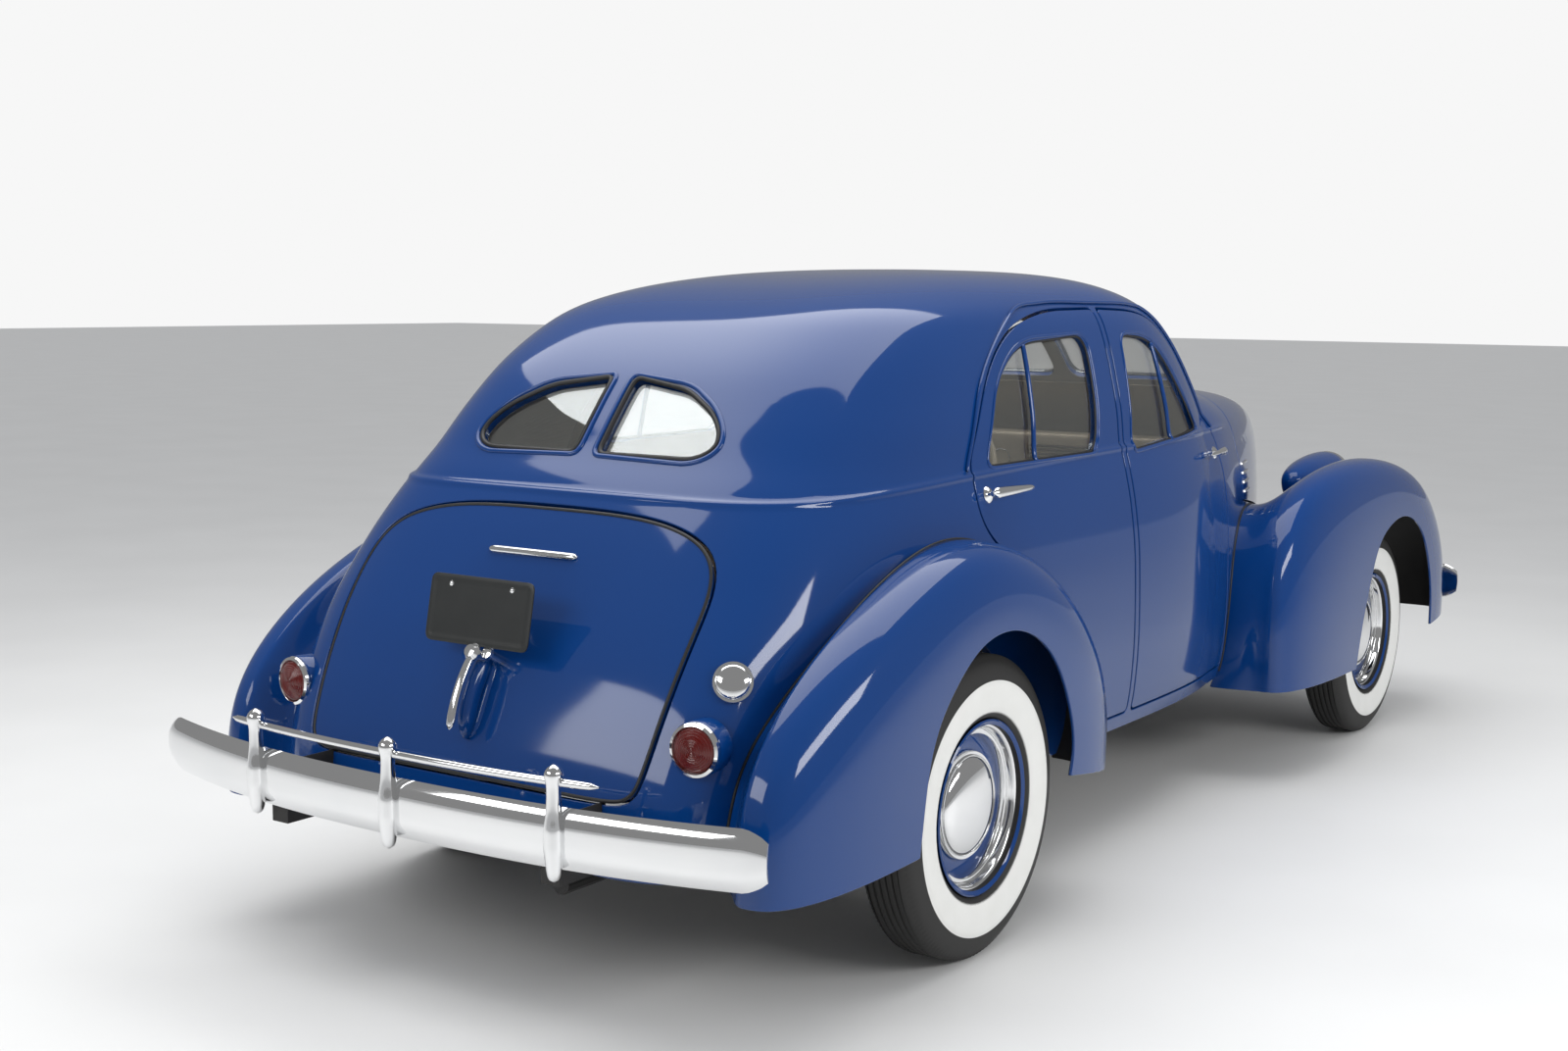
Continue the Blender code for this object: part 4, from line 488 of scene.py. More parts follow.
class Skin:
    """The car's outer skin as formulas: a squared ellipse at each height behind, a tapering hood in front."""

    def __init__(self) -> None:
        """Make the profiles from the tables of shares."""
        self.width = Profile(WIDTH_SHARES, True)
        self.tail_reach = Profile(TAIL_SHARES, True)
        self.screen_reach = Profile(SCREEN_SHARES, True)
        self.square = Profile(SQUARE_SHARES)
        self.taper = Profile(TAPER_SHARES)
        self.crown = Profile(CROWN_SHARES)
        self.belt = Profile(BELT_LINE, soft=0.03)

    def half(self, z: Array) -> Array:
        """Half width at a height."""
        return BODY_HALF * self.width(z / HEIGHT)

    def hood_half(self, y: Array, z: Array) -> Array:
        """Half width of hood and lower body ahead of the widest place: width times taper times a rounded shoulder."""
        ahead = np.clip((WIDEST_Y - y) / NOSE_REACH, 0, 1)
        crown = HEIGHT * self.crown(ahead)
        widest = BODY_HALF * self.width(np.minimum(z / HEIGHT, WIDTH_SHARES[6][0]))
        rise = np.clip((z - SHOULDER_Z) / np.maximum(crown - SHOULDER_Z, MERGE), 0, 1)
        shoulder = (1 - rise**CROWN_SQUARE_SHARE) ** (1 / CROWN_SQUARE_SHARE)
        return np.where(WIDEST_Y - y < NOSE_REACH, widest * self.taper(ahead) * shoulder, 0)

    def side(self, y: Array, z: Array) -> Array:
        """Half width at a place in side view."""
        y, z = np.asarray(y, float), np.asarray(z, float)
        square = self.square(z / HEIGHT)
        behind = np.clip((y - WIDEST_Y) / (TAIL_REACH * self.tail_reach(z / HEIGHT)), 0, 1)
        upper = self.half(z) * (1 - behind**square) ** (1 / square)
        ahead = np.clip((WIDEST_Y - y) / (SCREEN_REACH * self.screen_reach(z / HEIGHT)), 0, 1)
        cabin = self.half(z) * (1 - ahead**SCREEN_SQUARE_SHARE) ** (1 / SCREEN_SQUARE_SHARE)
        return np.where(y > WIDEST_Y, upper, np.maximum(cabin, self.hood_half(y, z)))

    def tail(self, x: Array, z: Array) -> Array:
        """Place along the car of the tail at a place across it."""
        square = self.square(z / HEIGHT)
        share = np.clip(np.abs(x) / self.half(z), 0, 1)
        return WIDEST_Y + TAIL_REACH * self.tail_reach(z / HEIGHT) * (1 - share**square) ** (1 / square)

    def screen(self, x: Array, z: Array) -> Array:
        """Place along the car of the windscreen at a place across it."""
        share = np.clip(np.abs(x) / self.half(z), 0, 1)
        reach = SCREEN_REACH * self.screen_reach(z / HEIGHT)
        return WIDEST_Y - reach * (1 - share**SCREEN_SQUARE_SHARE) ** (1 / SCREEN_SQUARE_SHARE)

    def polar(self, angle: Array, z: Array) -> Array:
        """Distance from the upright line through the widest place, the hood found by halving."""
        along, across = np.cos(angle), np.abs(np.sin(angle))
        share, behind = z / HEIGHT, np.cos(angle) >= 0
        reach = np.where(behind, TAIL_REACH * self.tail_reach(share), SCREEN_REACH * self.screen_reach(share))
        square = np.where(behind, self.square(share), SCREEN_SQUARE_SHARE)
        cabin = ((np.abs(along) / reach) ** square + (across / self.half(z)) ** square) ** (-1 / square)
        low, high = np.zeros_like(cabin), np.full_like(cabin, NOSE_REACH)
        for _ in range(26):
            middle = (low + high) / 2
            inside = middle * across < self.hood_half(WIDEST_Y + middle * along, z)
            low, high = np.where(inside, middle, low), np.where(inside, high, middle)
        return np.maximum(cabin, np.where(behind, 0, low))

    def relief(self, points: Array) -> Array:
        """Height of the pressed belt crease over the skin: a bead, with the panel above it set back."""
        over = points[..., 2] - self.belt(points[..., 1])
        bead = 0.0052 * np.exp(-((over / 0.0075) ** 2))
        back = 0.0030 / (1 + np.exp(-over / 0.004)) * np.exp(-np.maximum(over, 0) / 0.06)
        ahead = 1 / (1 + np.exp(-(points[..., 1] + 0.72) / 0.03))
        return (bead - back) * ahead


SKIN = Skin()


def unit(vectors: Array) -> Array:
    """Vectors at length one."""
    return vectors / np.maximum(np.linalg.norm(vectors, axis=-1, keepdims=True), 1e-12)


def vertex_normals(points: Array, faces: Array) -> Array:
    """Unit normals of a triangle mesh's points, each the sum of its triangles' area vectors."""
    area = np.cross(points[faces[:, 1]] - points[faces[:, 0]], points[faces[:, 2]] - points[faces[:, 0]])
    total = np.zeros_like(points)
    for column in range(3):
        weights = np.tile(area[:, column], 3)
        total[:, column] = np.bincount(faces.T.reshape(-1), weights, len(points))
    return unit(total)


@dataclass
class Surface:
    """Triangle mesh as arrays: places, unit normals, corners and the finish number of each face."""

    points: Array
    normals: Array
    faces: Array
    marks: Array

    @classmethod
    def grid(cls, points: Array, wrap: bool = False, outward: Array | None = None) -> "Surface":
        """Surface through a grid of points, two triangles to a cell.

        Args:
            points: Rows by columns by three.
            wrap: The last column joins the first.
            outward: A direction or directions that the normals face.
        Returns:
            The surface, with its normals turned outward.
        """
        rows, columns = points.shape[:2]
        index = np.arange(rows * columns).reshape(rows, columns)
        if wrap:
            index = np.concatenate([index, index[:, :1]], axis=1)
        a, b, c, d = index[:-1, :-1], index[:-1, 1:], index[1:, 1:], index[1:, :-1]
        faces = np.concatenate([np.stack([a, b, c], -1).reshape(-1, 3), np.stack([a, c, d], -1).reshape(-1, 3)])
        flat = points.reshape(-1, 3).astype(float)
        right = (np.roll(points, -1, 1) - np.roll(points, 1, 1)) / 2 if wrap else np.gradient(points, axis=1)
        normals = unit(np.cross(right, np.gradient(points, axis=0))).reshape(-1, 3)
        if outward is not None and np.sum(normals * np.reshape(outward, (-1, 3))) < 0:
            faces, normals = faces[:, ::-1], -normals
        return cls(flat, normals, faces, np.zeros(len(faces), int))

    def raised(self, height: Array) -> "Surface":
        """This surface moved along its normals, with new normals."""
        points = self.points + height[:, None] * self.normals
        return Surface(points, vertex_normals(points, self.faces), self.faces, self.marks)

    def clip(self, level: Array) -> "Surface":
        """The part where a level is above zero; each crossed triangle is cut where the level is nought.

        Args:
            level: The level at each point.
        Returns:
            The part that is kept.
        """
        inside = level > 0
        corner = inside[self.faces]
        count = corner.sum(axis=1)
        kept = [self.faces[count == 3]]
        marks = [self.marks[count == 3]]
        pairs, pieces = [], []
        for number in (1, 2):
            chosen = np.flatnonzero(count == number)
            odd = np.argmax(corner[chosen] == (number == 1), axis=1)
            turn = (odd[:, None] + np.arange(3)) % 3
            tri = np.take_along_axis(self.faces[chosen], turn, axis=1)
            pairs += [tri[:, [0, 1]], tri[:, [0, 2]]]
            pieces.append((tri, self.marks[chosen]))
        ends = np.sort(np.concatenate(pairs), axis=1)
        unique, inverse = np.unique(ends, axis=0, return_inverse=True)
        inverse = inverse.reshape(-1) + len(self.points)
        one, two = level[unique[:, 0]], level[unique[:, 1]]
        share = np.clip(one / np.where(one == two, 1, one - two), 0.001, 0.999)[:, None]
        added = self.points[unique[:, 0]] * (1 - share) + self.points[unique[:, 1]] * share
        turned = unit(self.normals[unique[:, 0]] * (1 - share) + self.normals[unique[:, 1]] * share)
        first, second = pieces
        size = len(first[0])
        ab, ac = inverse[:size], inverse[size:2 * size]
        kept.append(np.stack([first[0][:, 0], ab, ac], axis=1))
        marks.append(first[1])
        rest = len(second[0])
        ab, ac = inverse[2 * size:2 * size + rest], inverse[2 * size + rest:]
        kept += [np.stack([ab, second[0][:, 1], second[0][:, 2]], 1), np.stack([ab, second[0][:, 2], ac], 1)]
        marks += [second[1], second[1]]
        made = Surface(np.concatenate([self.points, added]), np.concatenate([self.normals, turned]),
                       np.concatenate(kept), np.concatenate(marks))
        return made.compact()

    def welded(self) -> "Surface":
        """This surface with points that lie on each other made one, and the faces left without area gone."""
        _, first, inverse = np.unique(np.round(self.points / MERGE).astype(np.int64), axis=0,
                                      return_index=True, return_inverse=True)
        faces = inverse.reshape(-1)[self.faces]
        whole = (faces[:, 0] != faces[:, 1]) & (faces[:, 1] != faces[:, 2]) & (faces[:, 0] != faces[:, 2])
        points, faces = self.points[first], faces[whole]
        return Surface(points, vertex_normals(points, faces), faces, self.marks[whole])

    def compact(self) -> "Surface":
        """This surface without unused points."""
        used, inverse = np.unique(self.faces, return_inverse=True)
        return Surface(self.points[used], self.normals[used], inverse.reshape(-1, 3), self.marks)

    def border(self) -> tuple[Array, Array]:
        """Edges with one face, turned as their faces, and each border point's way out of the surface."""
        edges = np.concatenate([self.faces[:, [0, 1]], self.faces[:, [1, 2]], self.faces[:, [2, 0]]])
        key = np.sort(edges, axis=1)
        _, inverse, count = np.unique(key, axis=0, return_inverse=True, return_counts=True)
        edges = edges[count[inverse.reshape(-1)] == 1]
        run = self.points[edges[:, 1]] - self.points[edges[:, 0]]
        out = np.zeros_like(self.points)
        for end in (0, 1):
            side = np.cross(run, self.normals[edges[:, end]])
            for axis in range(3):
                out[:, axis] += np.bincount(edges[:, end], side[:, axis], len(self.points))
        out -= np.sum(out * self.normals, axis=1, keepdims=True) * self.normals
        return edges, unit(out)

    def panel(self, thickness: float, roll: float = ROLL, inner: int = 0, steps: int = 3) -> "Surface":
        """Closed panel: this face, an edge rolled in a quarter circle, a wall and an inner face.

        Args:
            thickness: From the outer face to the inner one.
            roll: Radius of the rolled edge, which stands out past the border.
            inner: Finish number of the inner face.
            steps: Rows round the rolled edge.
        Returns:
            The closed surface.
        """
        edges, out = self.border()
        rim = np.unique(edges)
        slot = np.full(len(self.points), -1)
        slot[rim] = np.arange(len(rim))
        base, normal, way = self.points[rim], self.normals[rim], out[rim]
        turns = np.linspace(0, math.pi / 2, steps + 1)[1:]
        rows = [(roll * math.sin(a), roll * (1 - math.cos(a)), a) for a in turns]
        rows.append((roll, thickness - roll / 2, math.pi / 2))
        points, normals, faces, marks = [self.points], [self.normals], [self.faces], [self.marks]
        above, total = rim, len(self.points)
        ends = slot[edges]
        for outward, down, angle in rows:
            points.append(base + outward * way - down * normal)
            normals.append(unit(normal * math.cos(angle) + way * math.sin(angle)))
            below = total + np.arange(len(rim))
            total += len(rim)
            faces += self.strip(above, below, ends)
            marks.append(np.zeros(2 * len(edges), int))
            above = below
        back = self.points - thickness * self.normals
        back[rim] += roll * way
        points.append(back)
        normals.append(-self.normals)
        faces += self.strip(above, total + rim, ends)
        faces.append(total + self.faces[:, ::-1])
        marks += [np.full(2 * len(edges), inner), np.full(len(self.faces), inner)]
        return Surface(np.concatenate(points), np.concatenate(normals), np.concatenate(faces), np.concatenate(marks))

    @staticmethod
    def strip(above: Array, below: Array, ends: Array) -> list[Array]:
        """Two triangles for each border edge, between two rows of rim points."""
        a, b = above[ends[:, 0]], above[ends[:, 1]]
        c, d = below[ends[:, 1]], below[ends[:, 0]]
        return [np.stack([b, a, d], axis=1), np.stack([b, d, c], axis=1)]

    def mirrored(self) -> "Surface":
        """This surface on the other side of the car."""
        flip = np.array([-1, 1, 1])
        return Surface(self.points * flip, self.normals * flip, self.faces[:, ::-1], self.marks)

    def on(self, side: Side) -> "Surface":
        """A left piece on either side."""
        return self if side is Side.LEFT else self.mirrored()

    def marked(self, mark: int) -> "Surface":
        """This surface with one finish number."""
        return Surface(self.points, self.normals, self.faces, np.full(len(self.faces), mark))

    def moved(self, turn: Matrix | None, shift: Sequence[float]) -> "Surface":
        """This surface turned about the origin and moved."""
        spin = np.eye(3) if turn is None else np.array(turn.to_3x3())
        return Surface(self.points @ spin.T + np.array(shift), self.normals @ spin.T, self.faces, self.marks)

    def build(self, name: str, finishes: Sequence[Finish], body: str, *nodes: str, keep_normals: bool = True,
              angle: float = 35.0) -> bpy.types.Object:
        """Make the surface an object that rides on a body.

        Args:
            name: The piece's name.
            finishes: The finishes that the marks number.
            body: The body that it rides on.
            nodes: Nodes that it stands for.
            keep_normals: Shade with this surface's own normals, or else smooth up to an angle.
            angle: That angle in degrees.
        Returns:
            The object.
        """
        mesh = bpy.data.meshes.new(name)
        mesh.vertices.add(len(self.points))
        mesh.vertices.foreach_set("co", self.points.astype(np.float32).reshape(-1))
        mesh.loops.add(3 * len(self.faces))
        mesh.loops.foreach_set("vertex_index", self.faces.astype(np.int32).reshape(-1))
        mesh.polygons.add(len(self.faces))
        mesh.polygons.foreach_set("loop_start", np.arange(0, 3 * len(self.faces), 3, dtype=np.int32))
        mesh.polygons.foreach_set("material_index", self.marks.astype(np.int32))
        for finish in finishes:
            mesh.materials.append(finish.material())
        mesh.update(calc_edges=True)
        mesh.validate()
        mesh.shade_smooth()
        if keep_normals:
            mesh.normals_split_custom_set_from_vertices(self.normals.tolist())
        else:
            mesh.set_sharp_from_angle(angle=math.radians(angle))
        return mount(bpy.data.objects.new(name, mesh), finishes[0], body, *nodes)


def mount(piece: bpy.types.Object, finish: Finish, body: str, *nodes: str) -> bpy.types.Object:
    """Link a piece, ride it on a body and say which nodes it stands for."""
    if not piece.users_collection:
        bpy.context.scene.collection.objects.link(piece)
    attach(piece, body)
    if nodes:
        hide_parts(*nodes)
    LOG.info("%s rides on %s with %d faces", piece.name, body, len(piece.data.polygons))
    return piece


def joined(*parts: Surface) -> Surface:
    """Several surfaces as one."""
    starts = np.cumsum([0] + [len(part.points) for part in parts[:-1]])
    return Surface(
        np.concatenate([part.points for part in parts]), np.concatenate([part.normals for part in parts]),
        np.concatenate([part.faces + start for part, start in zip(parts, starts)]),
        np.concatenate([part.marks for part in parts]),
    )


def turned(profile: Pairs, segments: int, axis: Sequence[float], centre: Sequence[float], mark: int = 0) -> Surface:
    """Profile of (radius, along) pairs turned about an axis through a centre, a radius of nought closing it.

    Args:
        profile: The pairs, which run so that the face looks outward.
        segments: Steps round the axis.
        axis: The axis's direction.
        centre: A point on it.
        mark: Finish number.
    Returns:
        The surface, with poles closed by narrow triangles.
    """
    pairs = np.asarray(profile, float)
    way = Vector(axis).normalized()
    turn = np.array(way.to_track_quat("Z", "Y").to_matrix())
    angle = np.linspace(0, 2 * math.pi, segments, endpoint=False)
    radius, along = pairs[:, 0][:, None], pairs[:, 1][:, None]
    local = np.stack([radius * np.cos(angle), radius * np.sin(angle), along + 0 * angle], axis=-1)
    surface = Surface.grid(local @ turn.T + np.array(centre), wrap=True)
    faces, points = surface.faces, surface.points
    middle = points[faces].mean(axis=1)
    spans = points[faces]
    area = np.cross(spans[:, 1] - spans[:, 0], spans[:, 2] - spans[:, 0])
    volume = np.sum(area * (middle - points.mean(axis=0)))
    if volume < 0:
        faces = faces[:, ::-1]
    welded, inverse = np.unique(np.round(points / MERGE).astype(np.int64), axis=0, return_inverse=True)
    first = np.zeros(len(welded), int)
    first[inverse.reshape(-1)] = np.arange(len(points))
    faces = inverse.reshape(-1)[faces]
    faces = faces[(faces[:, 0] != faces[:, 1]) & (faces[:, 1] != faces[:, 2]) & (faces[:, 0] != faces[:, 2])]
    points = points[first]
    return Surface(points, vertex_normals(points, faces), faces, np.full(len(faces), mark))


def smooth_path(points: Sequence[Sequence[float]], count: int, closed: bool = False) -> Array:
    """Points spread evenly by length on a Catmull-Rom curve through the given ones.

    Args:
        points: The places that the curve passes.
        count: How many points to return.
        closed: The curve joins its start.
    Returns:
        The points, count by dimension.
    """
    p = np.asarray(points, float)
    p = np.concatenate([p[-1:], p, p[:2]]) if closed else np.concatenate([2 * p[:1] - p[1:2], p, 2 * p[-1:] - p[-2:-1]])
    u = np.linspace(0, 1, 24, endpoint=False)[:, None, None]
    a, b, c, d = p[:-3], p[1:-2], p[2:-1], p[3:]
    dense = 0.5 * (2 * b + (c - a) * u + (2 * a - 5 * b + 4 * c - d) * u**2 + (3 * b - a - 3 * c + d) * u**3)
    dense = dense.transpose(1, 0, 2).reshape(-1, p.shape[1])
    dense = np.concatenate([dense, dense[:1] if closed else p[-2:-1]])
    run = np.concatenate([[0], np.cumsum(np.linalg.norm(np.diff(dense, axis=0), axis=1))])
    at = np.linspace(0, run[-1], count, endpoint=not closed)
    return np.stack([np.interp(at, run, dense[:, k]) for k in range(dense.shape[1])], axis=1)


def swept(path: Array, normals: Array, section: Pairs, closed: bool = False, size: Array | None = None) -> Surface:
    """Section carried along a path, its first coordinate across the path in the surface, its second up.

    Args:
        path: The points of the path.
        normals: The direction that is up at each.
        section: Closed outline of (across, up) pairs.
        closed: The path joins its start.
        size: A factor for the section at each point.
    Returns:
        The tube, its ends drawn shut where it isn't closed.
    """
    ahead = np.roll(path, -1, 0) - np.roll(path, 1, 0)
    if not closed:
        ahead[0], ahead[-1] = path[1] - path[0], path[-1] - path[-2]
    ahead = unit(ahead)
    up = unit(normals - np.sum(normals * ahead, axis=1, keepdims=True) * ahead)
    across = np.cross(ahead, up)
    outline = np.asarray(section, float)
    size = np.ones(len(path)) if size is None else size
    rings = path[:, None] + size[:, None, None] * (
        outline[None, :, :1] * across[:, None] + outline[None, :, 1:] * up[:, None])
    if closed:
        rings = np.concatenate([rings, rings[:1]])
    else:
        middle = rings.mean(axis=1, keepdims=True) + 0 * rings[:1].mean(axis=0)
        rings = np.concatenate([middle[:1], rings, middle[-1:]])
    spread = rings - rings.mean(axis=1, keepdims=True)
    surface = Surface.grid(rings, wrap=True, outward=spread.reshape(-1, 3))
    return surface


def round_section(width: float, height: float, count: int = 10) -> Array:
    """Ellipse as a section."""
    angle = np.linspace(0, 2 * math.pi, count, endpoint=False)
    return np.stack([width * np.cos(angle), height * np.sin(angle)], axis=1)


def filleted(outline: Sequence[tuple[float, float]], reach: float, tight: Iterable[int] = (), small: float = 0.018) -> Array:
    """Outline whose corners are arcs of a parabola, each starting at most a reach from its corner.

    Args:
        outline: Corners.
        reach: How far from a corner its curve may start.
        tight: Corners with the small reach.
        small: That small reach.
    Returns:
        The fine outline.
    """
    p = np.asarray(outline, float)
    before, after = np.roll(p, 1, 0) - p, np.roll(p, -1, 0) - p
    limit = np.full(len(p), reach)
    limit[list(tight)] = small
    one = p + unit(before) * np.minimum(limit, np.linalg.norm(before, axis=1) / 2)[:, None]
    two = p + unit(after) * np.minimum(limit, np.linalg.norm(after, axis=1) / 2)[:, None]
    u = np.linspace(0, 1, 9)[:, None, None]
    fine = (1 - u) ** 2 * one + 2 * u * (1 - u) * p + u * u * two
    fine = fine.transpose(1, 0, 2).reshape(-1, 2)
    keep = np.linalg.norm(fine - np.roll(fine, 1, 0), axis=1) > MERGE
    return fine[keep]


def inside_by(outline: Array, places: Array) -> Array:
    """Signed distance of places from an outline, positive inside it.

    Args:
        outline: Corners of the outline.
        places: Places in the same plane.
    Returns:
        The distance of each.
    """
    a, b = outline, np.roll(outline, -1, 0)
    run = b - a
    best = np.full(len(places), np.inf)
    odd = np.zeros(len(places), bool)
    for start in range(0, len(a), 16):
        s, r, e = a[start:start + 16], run[start:start + 16], b[start:start + 16]
        offset = places[:, None] - s
        share = np.clip(np.sum(offset * r, -1) / np.sum(r * r, -1), 0, 1)
        gap = np.linalg.norm(offset - share[..., None] * r, axis=-1)
        best = np.minimum(best, gap.min(axis=1))
        high = places[:, None, 1]
        crosses = (s[:, 1] > high) != (e[:, 1] > high)
        rise = np.where(r[:, 1] == 0, 1, r[:, 1])
        reach = s[:, 0] + (high - s[:, 1]) / rise * r[:, 0]
        odd ^= (np.sum(crosses & (places[:, None, 0] < reach), axis=1) % 2).astype(bool)
    return np.where(odd, best, -best)


def side_outline(shares: Pairs) -> list[tuple[float, float]]:
    """Side outline in metres."""
    return [(PILLAR_Y + a * WHEELBASE, b * HEIGHT) for a, b in shares]


def cross_outline(shares: Pairs, both: bool) -> list[tuple[float, float]]:
    """Rear or front outline in metres, mirrored where it spans the car."""
    half = [(a * BODY_HALF, b * HEIGHT) for a, b in shares]
    return half + [(-x, z) for x, z in reversed(half)] if both else half


DOOR_OUTLINES = {
    "rear_door": filleted(side_outline(REAR_DOOR_SHARES), 0.10, (0, 1, 13)),
    "front_door": filleted(side_outline(FRONT_DOOR_SHARES), 0.10, (0, 1, 7)),
}
LIGHT_OUTLINES = {
    "rear_door": filleted(side_outline(REAR_LIGHT_SHARES), 0.06, (0,), 0.035),
    "front_door": filleted(side_outline(FRONT_LIGHT_SHARES), 0.05, (0, 5), 0.030),
}
LID_OUTLINE = filleted(cross_outline(LID_SHARES, True), 0.12)
BACKLIGHT_OUTLINE = filleted(cross_outline(BACKLIGHT_SHARES, False), 0.035, (0, 6), 0.022)
SCREEN_OUTLINE = filleted(cross_outline(SCREEN_LIGHT_SHARES, False), 0.045)


def side_points(outline: Array, depth: float = 0.0) -> tuple[Array, Array]:
    """Places and normals on the left side's skin for a side outline.

    Args:
        outline: Side outline of (y, z) pairs.
        depth: How far under the skin.
    Returns:
        Places and normals.
    """
    y, z, step = outline[:, 0], outline[:, 1], 0.002
    slope_y = (SKIN.side(y + step, z) - SKIN.side(y - step, z)) / (2 * step)
    slope_z = (SKIN.side(y, z + step) - SKIN.side(y, z - step)) / (2 * step)
    normals = unit(np.stack([np.ones(len(y)), -slope_y, -slope_z], axis=1))
    points = np.stack([SKIN.side(y, z), y, z], axis=1)
    return points + (SKIN.relief(points) - depth)[:, None] * normals, normals


def tail_points(outline: Array, depth: float = 0.0, ahead: bool = False) -> tuple[Array, Array]:
    """Places and normals on the tail's skin, or the windscreen's, for an outline seen from its end.

    Args:
        outline: Outline of (x, z) pairs.
        depth: How far under the skin.
        ahead: On the windscreen.
    Returns:
        Places and normals.
    """
    form = SKIN.screen if ahead else SKIN.tail
    x, z, step = outline[:, 0], outline[:, 1], 0.002
    slope_x = (form(x + step, z) - form(x - step, z)) / (2 * step)
    slope_z = (form(x, z + step) - form(x, z - step)) / (2 * step)
    sign = -1 if ahead else 1
    normals = sign * unit(np.stack([-slope_x, np.ones(len(x)), -slope_z], axis=1))
    points = np.stack([x, form(x, z), z], axis=1)
    lift = SKIN.relief(points) if not ahead else 0 * x
    return points + (lift - depth)[:, None] * normals, normals


def closed_path(outline: Array, pitch: float) -> Array:
    """Closed outline with a point every pitch."""
    following = np.concatenate([outline, outline[:1]])
    run = np.concatenate([[0], np.cumsum(np.linalg.norm(np.diff(following, axis=0), axis=1))])
    at = np.linspace(0, run[-1], max(int(run[-1] / pitch), 8), endpoint=False)
    return np.stack([np.interp(at, run, following[:, k]) for k in (0, 1)], axis=1)


def trim(outline: Array, lift: float, section: Pairs, pitch: float, form: Callable = side_points,
         closed: bool = True, side: Side = Side.LEFT, mark: int = 0, **place: bool) -> Surface:
    """Bead along an outline on the skin.

    Args:
        outline: The outline in its own view.
        lift: How far the bead's middle stands over the skin.
        section: The bead's section.
        pitch: Step along the outline.
        form: What turns the outline into places and normals.
        closed: The outline joins its start.
        side: The side of the car.
        mark: Finish number.
        place: Settings for form.
    Returns:
        The bead.
    """
    fine = closed_path(outline, pitch) if closed else smooth_path(outline, max(int(1 / pitch / 2), 12))
    points, normals = form(fine, -lift, **place)
    return swept(points, normals, section, closed).marked(mark).on(side)


@dataclass
class BodyShell:
    """Roof, tail, pillars, cowl and sills: one skin with its openings, lined inside."""

    rear_steps: int = 125
    front_steps: int = 95
    well_radius: float = TYRE_RADIUS + 0.046

    def levels(self) -> Array:
        """Heights of the rows: dense at the belt crease, at the cowl and up the roof."""
        runs = [(SILL_Z - 0.02, 1.06, 46), (1.06, 1.14, 36), (1.14, 1.20, 6), (1.20, 1.29, 26), (1.29, 1.50, 18)]
        low = np.concatenate([np.linspace(a, b, n, endpoint=False) for a, b, n in runs])
        roof = HEIGHT * (1 - np.linspace(math.sqrt(1 - 1.50 / HEIGHT), 0, 32) ** 2)
        return np.concatenate([low, roof])

    def skin(self) -> Surface:
        """The whole skin: distance from the upright line by angle and height, with the crease raised."""
        rear = np.linspace(-math.pi / 2, math.pi / 2, 2 * self.rear_steps, endpoint=False)
        front = np.linspace(math.pi / 2, 3 * math.pi / 2, 2 * self.front_steps, endpoint=False)
        angle, z = np.meshgrid(np.concatenate([rear, front]), self.levels())
        radius = SKIN.polar(angle, z)
        points = np.stack([radius * np.sin(angle), WIDEST_Y + radius * np.cos(angle), z], axis=-1)
        top = np.broadcast_to([0.0, WIDEST_Y, HEIGHT], (1, points.shape[1], 3))
        points = np.concatenate([points, top])
        lift = np.clip((points[..., 2] - 1.3) / (HEIGHT - 1.3), 0, 1) ** 4
        points[..., 2] -= (HEIGHT - cad_box[1][2] + 0.0004) * lift
        whole = Surface.grid(points, wrap=True, outward=points - np.array([0, WIDEST_Y, 0.9]))
        whole = whole.welded()
        return whole.raised(SKIN.relief(whole.points))

    def openings(self, p: Array) -> Array:
        """How far places lie from the nearest opening's edge.

        Args:
            p: Places on the skin.
        Returns:
            The distances, above zero on the metal.
        """
        gap = RUNNING_GAP / 2 + ROLL
        across = np.stack([np.abs(p[:, 0]), p[:, 2]], axis=1)
        levels = [-inside_by(outline, p[:, 1:]) - gap for outline in DOOR_OUTLINES.values()]
        lid = -inside_by(LID_OUTLINE, p[:, ::2]) - gap
        back = -inside_by(BACKLIGHT_OUTLINE, across) - ROLL
        screen = -inside_by(SCREEN_OUTLINE, across) - ROLL
        levels += [np.where(p[:, 1] > 1.0, np.minimum(lid, back), 1), np.where(p[:, 1] < 0, screen, 1)]
        well = np.hypot(p[:, 1] - REAR_AXLE_Y, p[:, 2] - AXLE_Z) - self.well_radius
        return np.minimum.reduce(levels + [well, p[:, 1] - FIREWALL_Y - gap, p[:, 2] - SILL_Z - ROLL])

    def build(self) -> None:
        """Build the skin, its wheel housings and the drip rails."""
        skin = self.skin()
        skin = skin.clip(self.openings(skin.points))
        skin.panel(WALL, inner=1).build("shell_skin", [PAINT, LINING], "body", "body_shell")
        for side in Side:
            angle, x = np.meshgrid(np.linspace(-0.25, math.pi + 0.2, 60), np.linspace(0.50, 0.675, 8))
            radius = self.well_radius + 0.004
            points = np.stack([x, REAR_AXLE_Y + radius * np.cos(angle), AXLE_Z + radius * np.sin(angle)], -1)
            outward = np.stack([0 * x, np.cos(angle), np.sin(angle)], -1)
            drum = Surface.grid(points, outward=outward).panel(0.002, 0.0005)
            drum.on(side).build(f"wheel_house_{side.word}", [STEEL], "body")
            rail = [(1.115, 1.112), (0.972, 1.335), (0.742, 1.482), (0.53, 1.512), (0.24, 1.513), (-0.03, 1.508),
                    (-0.17, 1.484), (-0.325, 1.390), (-0.552, 1.130)]
            bead = trim(np.array(rail), 0.003, round_section(0.005, 0.005), 0.004, closed=False, side=side)
            bead.build(f"drip_rail_{side.word}", [PAINT], "body")


